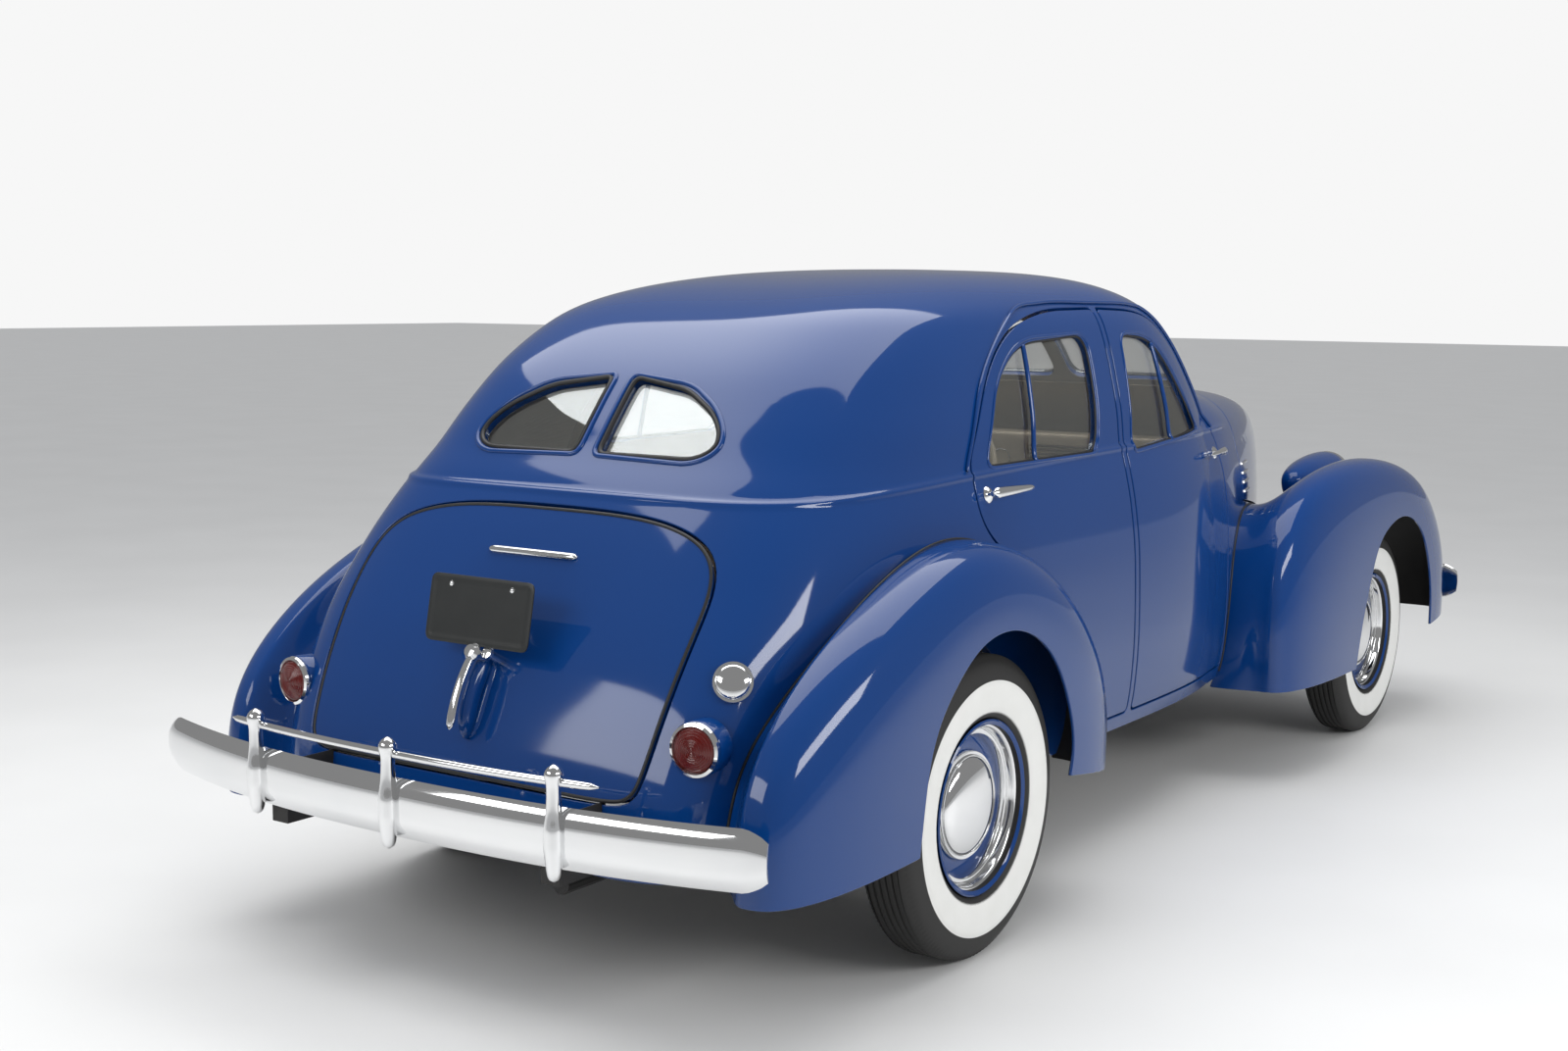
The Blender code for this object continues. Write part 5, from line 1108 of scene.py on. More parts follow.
@dataclass
class Door:
    """One door: skin with rolled edges round its opening, pane, gaskets, bars and handle."""

    kind: str
    side: Side
    bar: tuple[tuple[float, float], tuple[float, float]]
    handle: tuple[float, float]
    handle_z: float = 1.05

    def face(self, outline: Array, depth: float, pitch: float = 0.011) -> Surface:
        """Grid over an outline's box in side view, on the skin at a depth."""
        low, high = outline.min(axis=0) - 0.01, outline.max(axis=0) + 0.01
        rows = np.arange(low[1], high[1], pitch)
        fine = np.arange(1.07, 1.15, 0.0023)
        if depth == 0:
            rows = np.sort(np.concatenate([rows[(rows < 1.07) | (rows > 1.15)], fine]))
        y, z = np.meshgrid(np.arange(low[0], high[0], pitch), rows)
        points, normals = side_points(np.stack([y.ravel(), z.ravel()], axis=1), depth)
        return Surface.grid(points.reshape(*y.shape, 3), outward=normals)

    def build(self) -> None:
        """Build the door's pieces on its body."""
        body = f"{self.kind}_{self.side.word}"
        outline, light = DOOR_OUTLINES[self.kind], LIGHT_OUTLINES[self.kind]
        skin = self.face(outline, 0.0)
        places = skin.points[:, 1:]
        level = np.minimum(inside_by(outline, places) - RUNNING_GAP / 2 - ROLL, -inside_by(light, places) - ROLL)
        skin = skin.clip(level).panel(0.9 * WALL, inner=1)
        skin.on(self.side).build(f"{body}_skin", [PAINT, CLOTH], body, body)
        pane = self.face(light, GLASS_SETBACK)
        pane = pane.clip(inside_by(light, pane.points[:, 1:]) - 0.001).panel(GLASS, 0.0004, steps=1)
        pane.on(self.side).build(f"{body}_pane", [CLEAR], body, f"{body}_glass")
        seal = trim(light, -0.006, round_section(0.0045, 0.003), 0.008, side=self.side)
        seal.build(f"{body}_seal", [GASKET], body)
        self.frame(body, light)
        self.lever(body)

    def frame(self, body: str, light: Array) -> None:
        """Raised bead round the opening and the bar across it."""
        grown = light + 0.010 * unit(light - light.mean(axis=0))
        bead = trim(grown, 0.0, round_section(0.0045, 0.0032), 0.008, side=self.side)
        line = np.linspace(*self.bar, 14)
        bar = trim(line, -0.004, round_section(0.008, 0.006, 12), 0.02, closed=False, side=self.side)
        joined(bead, bar).build(f"{body}_beads", [PAINT], body)

    def lever(self, body: str) -> None:
        """Teardrop handle: a boss, a neck and a lever that swells and tapers."""
        pivot, tip = self.handle
        line = np.stack([np.linspace(pivot, tip, 26), np.full(26, self.handle_z)], axis=1)
        share = np.linspace(0, 1, 26)
        points, normals = side_points(line)
        points = points + (0.030 + 0.010 * np.sin(math.pi * share))[:, None] * normals
        size = np.sqrt(np.clip(share * 14, 0, 1)) * (1 - 0.55 * share) * np.sqrt(np.clip((1 - share) * 10, 0.01, 1))
        lever = swept(points, normals, round_section(0.014, 0.009, 16), size=size)
        place, normal = side_points(np.array([[pivot + 0.12 * (tip - pivot), self.handle_z]]))
        boss = [(0, 0.036), (0.006, 0.036), (0.007, 0.012), (0.017, 0.006), (0.021, 0.001), (0.021, -0.002), (0, -0.002)]
        neck = turned(boss, 32, normal[0], place[0])
        joined(lever, neck).on(self.side).build(f"{body}_handle", [CHROME], body, keep_normals=False)


@dataclass
class TrunkLid:
    """The lid with its rubber, plate, handle and bar."""

    plate_half: tuple[float, float] = (0.1525, 0.076)
    plate_centre: tuple[float, float, float] = (0.0, 2.117, 0.836)
    plate_lean: float = math.radians(11)

    def build(self) -> None:
        """Build the lid's pieces."""
        low, high = LID_OUTLINE.min(axis=0) - 0.01, LID_OUTLINE.max(axis=0) + 0.01
        x, z = np.meshgrid(np.arange(low[0], high[0], 0.011), np.arange(low[1], high[1], 0.009))
        points, normals = tail_points(np.stack([x.ravel(), z.ravel()], axis=1))
        skin = Surface.grid(points.reshape(*x.shape, 3), outward=normals)
        level = inside_by(LID_OUTLINE, skin.points[:, ::2]) - RUNNING_GAP / 2 - ROLL
        skin.clip(level).panel(0.9 * WALL, inner=1).build("lid_skin", [PAINT, LINING], "trunk_lid", "trunk_lid")
        inset = LID_OUTLINE - 0.007 * unit(LID_OUTLINE - LID_OUTLINE.mean(axis=0))
        rubber = trim(inset, 0.0, round_section(0.0042, 0.0028), 0.008, tail_points)
        rubber.build("lid_rubber", [GASKET], "trunk_lid")
        self.plate()
        self.latch()

    def plate(self) -> None:
        """Blank registration plate with a raised rim, two screws and two stays."""
        a, b = self.plate_half
        outline = filleted([(-a, -b), (a, -b), (a, b), (-a, b)], 0.02)
        x, z = np.meshgrid(np.linspace(-a - 0.005, a + 0.005, 60), np.linspace(-b - 0.005, b + 0.005, 32))
        flat = Surface.grid(np.stack([x, 0 * x, z], -1), outward=np.broadcast_to([0, 1, 0], (*x.shape, 3)))
        edge = inside_by(outline, flat.points[:, ::2])
        flat = flat.raised(0.0018 * np.exp(-(((edge - 0.008) / 0.0035) ** 2)))
        sheet = flat.clip(edge - 0.0012).panel(0.003, 0.001)
        screws = [turned([(0, 0.004), (0.003, 0.0036), (0.006, 0.0015), (0.0065, 0)], 20, (0, 1, 0), (x, 0, 0.055)).marked(1)
                  for x in (-0.09, 0.09)]
        turn = Matrix.Rotation(self.plate_lean, 4, "X")
        joined(sheet, *screws).moved(turn, self.plate_centre).build(
            "number_plate", [PLATE, CHROME], "trunk_lid", keep_normals=False)
        stays = []
        for x in (-0.06, 0.06):
            start, _ = tail_points(np.array([[x, 0.80]]))
            end = np.array(self.plate_centre) + (x, -0.004, -0.03)
            path = np.linspace(start[0], end, 8)
            stays.append(swept(path, np.tile([0.0, 0.0, 1.0], (8, 1)), round_section(0.009, 0.004)))
        joined(*stays).build("plate_stays", [CHROME], "trunk_lid")

    def latch(self) -> None:
        """Painted pod with a bright lever hanging from a knuckle at its top, a lock, and the plain bar above."""
        points, normals = tail_points(smooth_path([(0, 0.560), (0, 0.65), (0, 0.738)], 30))
        share = np.linspace(-1, 1, 30)
        size = np.sqrt(np.clip(1 - share**4, 0.01, 1))
        rise = 0.030 * np.sqrt(np.clip(1 - share**2, 0, 1))
        pod = swept(points + (rise - 0.006)[:, None] * normals, normals, round_section(0.018, 0.024, 20), size=size)
        base = swept(points, normals, round_section(0.026, 0.008, 20), size=size)
        top, way = points[-4], normals[-4]
        knuckle = [(0, -0.01), (0.013, -0.01), (0.013, 0.048), (0.020, 0.055), (0.021, 0.066), (0.014, 0.075), (0, 0.077)]
        lock = [(0, -0.01), (0.010, -0.01), (0.010, 0.044), (0.0145, 0.048), (0.0135, 0.055), (0, 0.057)]
        reach = np.linspace(0, 1, 34)[:, None]
        line = top + (0.064 + 0.010 * np.sin(math.pi * reach)) * way + reach * (points[0] - top)
        ends = np.sqrt(np.clip(1 - np.linspace(-1, 1, 34) ** 8, 0.02, 1)) * (0.8 + 0.3 * reach[:, 0])
        lever = swept(line, np.tile(way, (34, 1)), round_section(0.0115, 0.0075, 16), size=ends)
        bright = joined(turned(knuckle, 32, way, top), turned(lock, 28, way, top + (-0.034, 0, 0.006)), lever)
        joined(pod, base, bright.marked(1)).build("lid_handle", [PAINT, CHROME], "trunk_lid", keep_normals=False)
        line = np.stack([np.linspace(-0.132, 0.132, 40), np.full(40, 0.946)], axis=1)
        points, normals = tail_points(line, -0.004)
        ends = np.sqrt(np.clip(1 - np.linspace(-1, 1, 40) ** 20, 0.02, 1))
        strip = swept(points, normals, round_section(0.0085, 0.006, 14), size=ends)
        strip.build("lid_bar", [CHROME], "trunk_lid")


@dataclass
class Windows:
    """Split rear window and split windscreen: panes, gaskets and surrounds."""

    def pane(self, outline: Array, ahead: bool) -> Surface:
        """Pane under the skin inside an outline."""
        low, high = outline.min(axis=0) - 0.01, outline.max(axis=0) + 0.01
        x, z = np.meshgrid(np.arange(low[0], high[0], 0.009), np.arange(low[1], high[1], 0.007))
        points, normals = tail_points(np.stack([x.ravel(), z.ravel()], axis=1), GLASS_SETBACK, ahead)
        pane = Surface.grid(points.reshape(*x.shape, 3), outward=normals)
        return pane.clip(inside_by(outline, pane.points[:, ::2]) - 0.001).panel(GLASS, 0.0004, steps=1)

    def build(self) -> None:
        """Build both windows on each side."""
        for side in Side:
            for node, outline, ahead in (("rear_window", BACKLIGHT_OUTLINE, False), ("windscreen", SCREEN_OUTLINE, True)):
                name = f"{node}_{side.word}"
                self.pane(outline, ahead).on(side).build(f"{name}_pane", [CLEAR], "body", name)
                rubber = trim(outline, -0.002, round_section(0.0065, 0.0055), 0.006, tail_points, side=side, ahead=ahead)
                away = outline - outline.mean(axis=0)
                ring = trim(outline + 0.013 * unit(away), 0.0, round_section(0.0065, 0.0055), 0.006, tail_points,
                            side=side, mark=1, ahead=ahead)
                joined(rubber, ring).build(f"{name}_surround", [GASKET, PAINT], "body")


@dataclass
class Front:
    """Hood, hood sides and nose, hidden in the photograph and finished from the type."""

    rows: int = 150
    half_columns: int = 64
    bars: int = 11

    def skin(self, y0: float, y1: float) -> Surface:
        """Cross sections at each place along the car, spread evenly by length from sill over crown to sill."""
        turn = np.linspace(0, 1, 400) ** 2.25 * math.pi / 2
        turn = np.sort(np.concatenate([turn, math.pi / 2 - turn]))
        power = 2 / CROWN_SQUARE_SHARE
        made = []
        for y in np.linspace(y0, y1, self.rows):
            crown = HEIGHT * float(SKIN.crown(np.clip((WIDEST_Y - y) / NOSE_REACH, 0, 1)))
            z = SHOULDER_Z + (crown - SHOULDER_Z) * np.sin(turn) ** power
            z = np.concatenate([np.linspace(NOSE_BOTTOM - 0.03, SHOULDER_Z, 60, endpoint=False), z])
            x = SKIN.hood_half(np.full(len(z), y), z)
            x[-1] = 0
            run = np.concatenate([[0], np.cumsum(np.hypot(np.diff(x), np.diff(z)))])
            at = np.linspace(0, run[-1], self.half_columns)
            x, z = np.interp(at, run, x), np.interp(at, run, z)
            ring = np.stack([np.concatenate([x, -x[-2::-1]]), np.full(2 * len(x) - 1, y),
                             np.concatenate([z, z[-2::-1]])], axis=1)
            made.append(ring)
        points = np.stack(made)
        return Surface.grid(points, outward=points - np.array([0, -1.2, 0.6]))

    def build(self) -> None:
        """Build the panels, the grille's bars and the side vents."""
        skin = self.skin(FIREWALL_Y, WIDEST_Y - 0.9995 * NOSE_REACH)
        x, y, z = skin.points.T
        along = (FIREWALL_Y - y) / (FIREWALL_Y - NOSE_Y)
        edge = z - (HOOD_EDGE_Z - HOOD_EDGE_DROP * along)
        reach = HOOD_HINGE_Y - NOSE_Y
        low = np.maximum(z, HOOD_EDGE_Z - HOOD_EDGE_DROP)
        arc = y - (HOOD_HINGE_Y - np.sqrt(np.maximum(reach**2 - (HOOD_HINGE_Z - low) ** 2, 0)))
        gap, fire = RUNNING_GAP / 2 + ROLL, FIREWALL_Y - y
        hood = skin.clip(np.minimum.reduce([edge - gap, arc - gap, fire - gap]))
        hood.panel(0.018, inner=1).build("hood_skin", [PAINT, STEEL], "hood", "hood")
        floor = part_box("hood_side_left")[0].z
        sides = np.minimum.reduce([-edge - gap, arc - gap, fire - gap, z - floor - ROLL])
        left = skin.clip(np.minimum(sides, x)).panel(0.014, inner=1)
        for side in Side:
            left.on(side).build(f"hood_side_{side.word}_skin", [PAINT, STEEL], "body", f"hood_side_{side.word}")
            vents = [trim(np.array([(y, h) for y in np.linspace(-0.915, -1.045, 8)]), 0.001,
                          round_section(0.005, 0.005), 0.02, closed=False, side=side) for h in np.linspace(0.895, 0.985, 4)]
            joined(*vents).build(f"vent_bars_{side.word}", [CHROME], "hood")
        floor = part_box("nose")[0].z
        nose = skin.clip(np.minimum(-arc - gap, z - floor - ROLL))
        nose.panel(0.012, inner=1).build("nose_skin", [PAINT, STEEL], "body", "nose")
        made = []
        for height in np.linspace(0.50, 0.80, self.bars):
            reach = np.linspace(-1, 1, 41) * 0.16
            angle = math.pi + reach / 2
            radius = SKIN.polar(angle, np.full(41, height))
            points = np.stack([radius * np.sin(angle), WIDEST_Y + radius * np.cos(angle), 0 * angle + height], 1)
            normals = np.stack([np.sin(angle), np.cos(angle), 0 * angle], axis=1)
            made.append(swept(points + 0.001 * normals, normals, round_section(0.006, 0.006)))
        joined(*made).build("grille_bars", [CHROME], "body")


@dataclass
class Fender:
    """Fender: a walkway out from the seam to the crown line, then a squared quarter turn down to the lip."""

    front: bool
    side: Side
    along: int = 170
    walk: int = 18
    flank: int = 30
    soft: float = 7.0
    spread: float = FENDER_SQUARE_SHARE / 2

    def lines(self) -> tuple[Array, Array, Array, float, float]:
        """Seam, crown and lip in side view, in metres, and how far out crown and lip stand."""
        tables = ((FRONT_SEAM_SHARES, FRONT_CROWN_SHARES, FRONT_LIP_SHARES) if self.front
                  else (REAR_SEAM_SHARES, REAR_CROWN_SHARES, REAR_LIP_SHARES))
        axle = np.array([FRONT_AXLE_Y if self.front else REAR_AXLE_Y, AXLE_Z])
        curves = [axle + TYRE_RADIUS * smooth_path(table, self.along) for table in tables]
        seam, crown, lip = (np.stack([softened(c[:, k], self.soft) for k in (0, 1)], axis=1) for c in curves)
        if self.front:
            return seam, crown, lip, BODY_HALF + 0.050, BODY_HALF + 0.168
        return seam, crown, lip, BODY_HALF + 0.036, BODY_HALF + 0.173

    def build(self) -> None:
        """Build the fender and the black welting in its seam."""
        seam, crown, lip, crown_x, lip_x = self.lines()
        inner = SKIN.side(seam[:, 0], seam[:, 1])
        across = np.linspace(0, 1, self.walk, endpoint=False)[:, None]
        shift = (across**3 * (4 - 3 * across))[..., None]
        walk_x = (inner - 0.010) + (crown_x - inner + 0.010) * across
        walkway = np.concatenate([walk_x[..., None], seam + (crown - seam) * shift], axis=-1)
        share = np.linspace(0, 1, 2 * self.flank)[:, None]
        rise, fall = share**self.spread, (1 - share) ** self.spread
        turn = math.pi / 2 * rise / (rise + fall)
        power = 2 / FENDER_SQUARE_SHARE
        flank_x = crown_x + (lip_x - crown_x) * np.sin(turn) ** power + 0 * lip[:, 0]
        flank = np.concatenate([flank_x[..., None], lip + (crown - lip) * (np.cos(turn) ** power)[..., None]], -1)
        points = np.concatenate([walkway, flank])
        centre = np.array([0.5, FRONT_AXLE_Y if self.front else REAR_AXLE_Y, AXLE_Z])
        surface = Surface.grid(points, outward=points - centre)
        body = SKIN.side(surface.points[:, 1], surface.points[:, 2])
        surface = surface.clip(surface.points[:, 0] - body + 0.006)
        place = "front_fender" if self.front else "rear_fender"
        name = f"{place}_{self.side.word}"
        surface.panel(SHEET, 0.003, inner=1).on(self.side).build(f"{name}_skin", [PAINT, STEEL], "body", name)
        on_body, normals = side_points(seam[4:-4])
        bead = swept(on_body + 0.001 * normals, normals, round_section(0.0038, 0.0038))
        bead.on(self.side).build(f"{name}_welting", [GASKET], "body")


@dataclass
class Bumper:
    """Bowed blade, guards, upper bar and brackets."""

    name: str
    sign: int
    sweep: float
    guards: tuple[float, ...]
    half_span: float = 0.880
    blade_z: float = 0.455

    def place(self, x: Array, inset: float) -> Array:
        """Place along the car at a place across it."""
        bow = self.sweep * (np.abs(x) / self.half_span) ** 2.4
        lead = self.sweep * (min(abs(g) for g in self.guards) / self.half_span) ** 2.4
        return self.sign * (CAR_LENGTH / 2 - inset - bow + lead)

    def build(self) -> None:
        """Build the bumper's pieces."""
        x = np.linspace(-1, 1, 140) * (self.half_span - 0.004)
        path = np.stack([x, self.place(x, 0.038), 0 * x + self.blade_z], axis=1)
        normals = np.tile([0.0, float(self.sign), 0.0], (len(x), 1))
        s = np.linspace(-1, 1, 23)
        face = np.stack([0.064 * s, 0.018 * (1 - np.abs(s) ** 3) - 0.004], axis=1)
        back = np.stack([0.060 * s[::-1], 0.014 * (1 - np.abs(s) ** 3) - 0.008], axis=1)
        ends = 0.45 + 0.55 * np.clip((1 - np.abs(x) / self.half_span) / 0.055, 0, 1) ** 0.5
        parts = [swept(path, normals, np.concatenate([face, back]), size=ends)]
        for guard in self.guards:
            share = np.linspace(-1, 1, 44)
            height = 0.4885 + 0.1195 * share
            depth = np.full(44, float(self.place(np.array(guard), 0.0)) - self.sign * 0.024)
            line = np.stack([0 * share + guard, depth, height], axis=1)
            lobes = 0.68 + 0.36 * np.exp(-(((share + 0.28) / 0.42) ** 2)) + 0.26 * np.exp(-(((share - 0.84) / 0.13) ** 2))
            size = np.sqrt(np.clip(1 - np.abs(share) ** 14, 0.03, 1)) * np.minimum(lobes, 1)
            up = np.tile([0.0, float(self.sign), 0.0], (44, 1))
            parts.append(swept(line, up, round_section(0.0215, 0.0225, 20), size=size))
        reach = max(self.guards) + 0.10
        x = np.linspace(-reach, reach, 60)
        path = np.stack([x, self.place(x, 0.029), 0 * x + 0.572], axis=1)
        ends = np.sqrt(np.clip(1 - np.abs(x / reach) ** 30, 0.03, 1))
        parts.append(swept(path, np.tile([0.0, 0.0, 1.0], (60, 1)), round_section(0.0085, 0.0085, 14), size=ends))
        for side in (-1, 1):
            outer = float(self.place(np.array(0.40), 0.060))
            inner = outer - self.sign * 0.17
            path = np.linspace((side * 0.40, outer, self.blade_z), (side * 0.40, inner, self.blade_z), 8)
            parts.append(swept(path, np.tile([0.0, 0.0, 1.0], (8, 1)), round_section(0.006, 0.030, 14)).marked(1))
        joined(*parts).build(f"{self.name}_chrome", [CHROME, STEEL], "body", self.name, keep_normals=False, angle=50)


@dataclass
class Wheel:
    """Blue disc with stepped bright rings and a domed cap, in a whitewall tyre with a ribbed tread."""

    name: str
    x: float
    y: float
    band: tuple[float, float] = (0.222, 0.298)
    teeth: int = 150
    tooth_depth: float = 0.0026

    def disc(self) -> Surface:
        """Cap, disc, rings and rim as turned profiles, from the middle out and back behind."""
        w, cap, rim = TYRE_HALF_WIDTH, HUBCAP_RADIUS, RIM_RADIUS
        bulge = np.linspace(0, 1, 22)
        dome = np.stack([0.93 * cap * np.sin(bulge * math.pi / 2), 0.0520 - 0.030 * (1 - np.cos(bulge * math.pi / 2))], 1)
        lip = [(0.95 * cap, 0.0225), (0.98 * cap, 0.0230), (cap, 0.019), (1.01 * cap, 0.013), (0.95 * cap, 0.010), (0, 0.010)]
        hub = np.concatenate([dome, lip])
        plate = [(0, 0.009), (0.9 * cap, 0.009), (1.06 * cap, 0.0115), (0.150, 0.0110), (0.160, 0.0085),
                 (0.168, 0.0080), (0.190, -0.02), (0.186, -0.024), (0.10, -0.012), (0, -0.012)]
        steps = [(0.1655, 0.0080), (0.1670, 0.0240), (0.1690, 0.0285), (0.1735, 0.0305), (0.1785, 0.0300),
                 (0.1812, 0.0265), (0.1828, 0.0290), (0.1840, 0.0400), (0.1862, 0.0450), (0.1905, 0.0475),
                 (0.1950, 0.0470), (0.1975, 0.0435)]
        edge = [(0.1975, 0.0435), (0.1995, 0.0520), (rim - 0.001, 0.0570), (rim + 0.001, 0.0615),
                (rim - 0.003, 0.0640), (0.197, 0.0615), (0.193, 0.0585)]
        barrel = [(0.193, 0.0585), (0.190, 0.03), (0.186, -0.02), (0.190, -0.74 * w), (rim - 0.004, -0.80 * w),
                  (rim, -0.84 * w), (rim, -0.78 * w), (rim - 0.008, -0.72 * w), (rim - 0.006, 0.052)]
        sign = math.copysign(1, self.x)
        shapes = [(hub, 1), (plate, 0), (steps, 1), (edge, 0), (barrel, 2)]
        return joined(*[turned(shape, 128, (sign, 0, 0), (self.x, self.y, AXLE_Z), mark) for shape, mark in shapes])

    def tyre(self) -> Surface:
        """Section of sidewalls, shoulders and five ribs, turned about the axle, its whitewall marked by radius."""
        w, rim, depth = TYRE_HALF_WIDTH, RIM_RADIUS + 0.0015, TYRE_RADIUS - RIM_RADIUS
        wall = [(rim, 0.72 * w), (rim + 0.05 * depth, 0.80 * w), (self.band[0], 0.865 * w), (rim + 0.22 * depth, 0.93 * w),
                (rim + 0.5 * depth, 0.995 * w), (self.band[1], 0.97 * w), (rim + 0.8 * depth, 0.87 * w),
                (TYRE_RADIUS - 0.012, 0.74 * w), (TYRE_RADIUS - 0.0035, 0.65 * w), (TYRE_RADIUS - 0.001, 0.58 * w)]
        wall = smooth_path(wall, 30)
        along = np.linspace(-1, 1, 56)
        rib = np.clip(3.2 * np.cos(2.5 * math.pi * along) ** 2, 0, 1)
        tread = np.stack([TYRE_RADIUS - 0.001 - 0.006 * (1 - rib), -0.57 * w * along], axis=1)
        under = [(rim, -0.72 * w), (rim - 0.0005, -0.4 * w), (rim - 0.0005, 0.4 * w), (rim, 0.72 * w)]
        profile = np.concatenate([wall, tread, wall[::-1] * (1, -1), under])
        sign = math.copysign(1, self.x)
        made = turned(profile, 2 * self.teeth, (sign, 0, 0), (self.x, self.y, AXLE_Z))
        made = self.serrated(made)
        middle = made.points[made.faces].mean(axis=1) - (self.x, self.y, AXLE_Z)
        radius = np.hypot(middle[:, 1], middle[:, 2])
        white = (radius > self.band[0]) & (radius < self.band[1]) & (middle[:, 0] * sign > 0)
        return Surface(made.points, made.normals, made.faces, white.astype(int))

    def serrated(self, tyre: Surface) -> Surface:
        """The tyre with its shoulders drawn in at every other step round it, most where the tread meets the wall."""
        spoke = tyre.points - (self.x, self.y, AXLE_Z)
        radius = np.hypot(spoke[:, 1], spoke[:, 2])
        step = np.round(np.arctan2(spoke[:, 2], spoke[:, 1]) / math.pi * self.teeth)
        depth = self.tooth_depth * np.exp(-(((radius - TYRE_RADIUS + 0.007) / 0.006) ** 2)) * (step % 2)
        points = tyre.points.copy()
        points[:, 1:] -= spoke[:, 1:] * (depth / radius)[:, None]
        points[:, 0] -= np.sign(spoke[:, 0]) * depth * 0.6
        return Surface(points, vertex_normals(points, tyre.faces), tyre.faces, tyre.marks)

    def build(self) -> None:
        """Build disc and tyre on the wheel's body."""
        body = f"wheel_{self.name}"
        self.disc().build(f"{body}_disc", [PAINT, CHROME, STEEL], body, body, keep_normals=False, angle=40)
        self.tyre().build(f"{body}_tyre", [RUBBER, WHITEWALL], body, f"tyre_{self.name}", keep_normals=False, angle=50)


@dataclass
class Lamps:
    """Tail lamps, filler cap and headlamps."""

    head_centre: tuple[float, float, float] = (0.480, -1.930, 0.872)
    head_radius: float = 0.088
    head_length: float = 0.46

    def tail(self, side: Side) -> None:
        """Painted base, bright bezel and ribbed red lens."""
        low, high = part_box(f"tail_lamp_{side.word}")
        foot = ((low.x + high.x) / 2, high.y - 0.041, (low.z + high.z) / 2)
        axis, r = (0.12 * side.value, 1, 0), (high.z - low.z) / 2 - 0.0015
        base = turned([(0, -0.03), (r, -0.03), (r, 0.012), (0.97 * r, 0.016), (0, 0.016)], 72, axis, foot)
        ring = turned([(0.8 * r, 0.016), (0.97 * r, 0.017), (r, 0.022), (0.97 * r, 0.028), (0.86 * r, 0.031),
                       (0.82 * r, 0.027), (0.8 * r, 0.016)], 72, axis, foot, 1)
        share = np.linspace(0, 1, 60)
        dome = 0.024 + 0.014 * np.sqrt(1 - (0.999 * share) ** 2) + 0.0006 * np.cos(share * 60)
        face = np.stack([0.82 * r * share, dome], axis=1)
        lens = turned(np.concatenate([face, [(0.8 * r, 0.018), (0, 0.018)]]), 72, axis, foot, 2)
        joined(base, ring, lens).build(f"tail_lamp_{side.word}_lens", [PAINT, CHROME, RED], "body",
                                       f"tail_lamp_{side.word}", keep_normals=False)

    def filler(self) -> None:
        """Domed cap on a black neck, turned out and tipped up."""
        low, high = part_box("fuel_cap")
        turn, tilt = math.radians(35), math.radians(20)
        axis = Vector((-math.sin(turn) * math.cos(tilt), math.cos(turn) * math.cos(tilt), math.sin(tilt)))
        middle = (low + high) / 2
        foot = middle - 0.028 * axis
        neck = turned([(0, -0.01), (0.041, -0.01), (0.041, 0.004), (0.033, 0.009), (0.033, 0.030), (0, 0.030)], 56, axis, foot)
        bulge = np.linspace(0, math.pi / 2, 20)
        dome = np.stack([0.036 * np.sin(bulge), 0.044 + 0.0125 * np.cos(bulge)], axis=1)
        rim = [(0.037, 0.0425), (0.0425, 0.042), (0.0435, 0.038), (0.0425, 0.029), (0.038, 0.026), (0, 0.026)]
        cap = turned(np.concatenate([dome, rim]), 72, axis, foot, 1)
        joined(neck, cap).build("filler_cap", [RUBBER, CHROME], "body", "fuel_cap", keep_normals=False)

    def head(self, side: Side) -> None:
        """Egg-shaped pod drawn down to the fender, bright ring and domed lens."""
        r, d = self.head_radius, self.head_length
        egg = smooth_path([(0.94 * r, -0.06), (r, 0.05), (0.93 * r, 0.30), (0.74 * r, 0.55), (0.42 * r, 0.74), (0.0, 0.79)], 60)
        egg = egg * (1, d)
        shell = turned(np.concatenate([[(0, -0.05 * d)], egg]), 96, (0, 1, 0), self.head_centre)
        drop = shell.points[:, 2] - self.head_centre[2]
        points = shell.points.copy()
        points[:, 2] = self.head_centre[2] + np.where(drop < 0, 1.62 * drop, drop)
        shell = Surface(points, vertex_normals(points, shell.faces), shell.faces, shell.marks)
        ring = turned([(0.84 * r, -0.075 * d), (0.90 * r, -0.095 * d), (0.97 * r, -0.085 * d), (0.985 * r, -0.06 * d),
                       (0.96 * r, -0.04 * d), (0.84 * r, -0.04 * d), (0.84 * r, -0.075 * d)], 96, (0, 1, 0), self.head_centre, 1)
        share = np.linspace(1, 0, 40)
        face = np.stack([0.86 * r * share, -d * (0.075 + 0.10 * np.sqrt(1 - (0.99 * share) ** 2))], axis=1)
        lens = turned(np.concatenate([[(0, -0.06 * d), (0.86 * r, -0.06 * d)], face]), 96, (0, 1, 0), self.head_centre, 2)
        joined(shell, ring, lens).on(side).build(f"headlamp_{side.word}_pod", [PAINT, CHROME, CLEAR], "body",
                                                 f"headlamp_{side.word}", keep_normals=False)

    def build(self) -> None:
        """Build every lamp and the filler."""
        for side in Side:
            self.tail(side)
            self.head(side)
        self.filler()


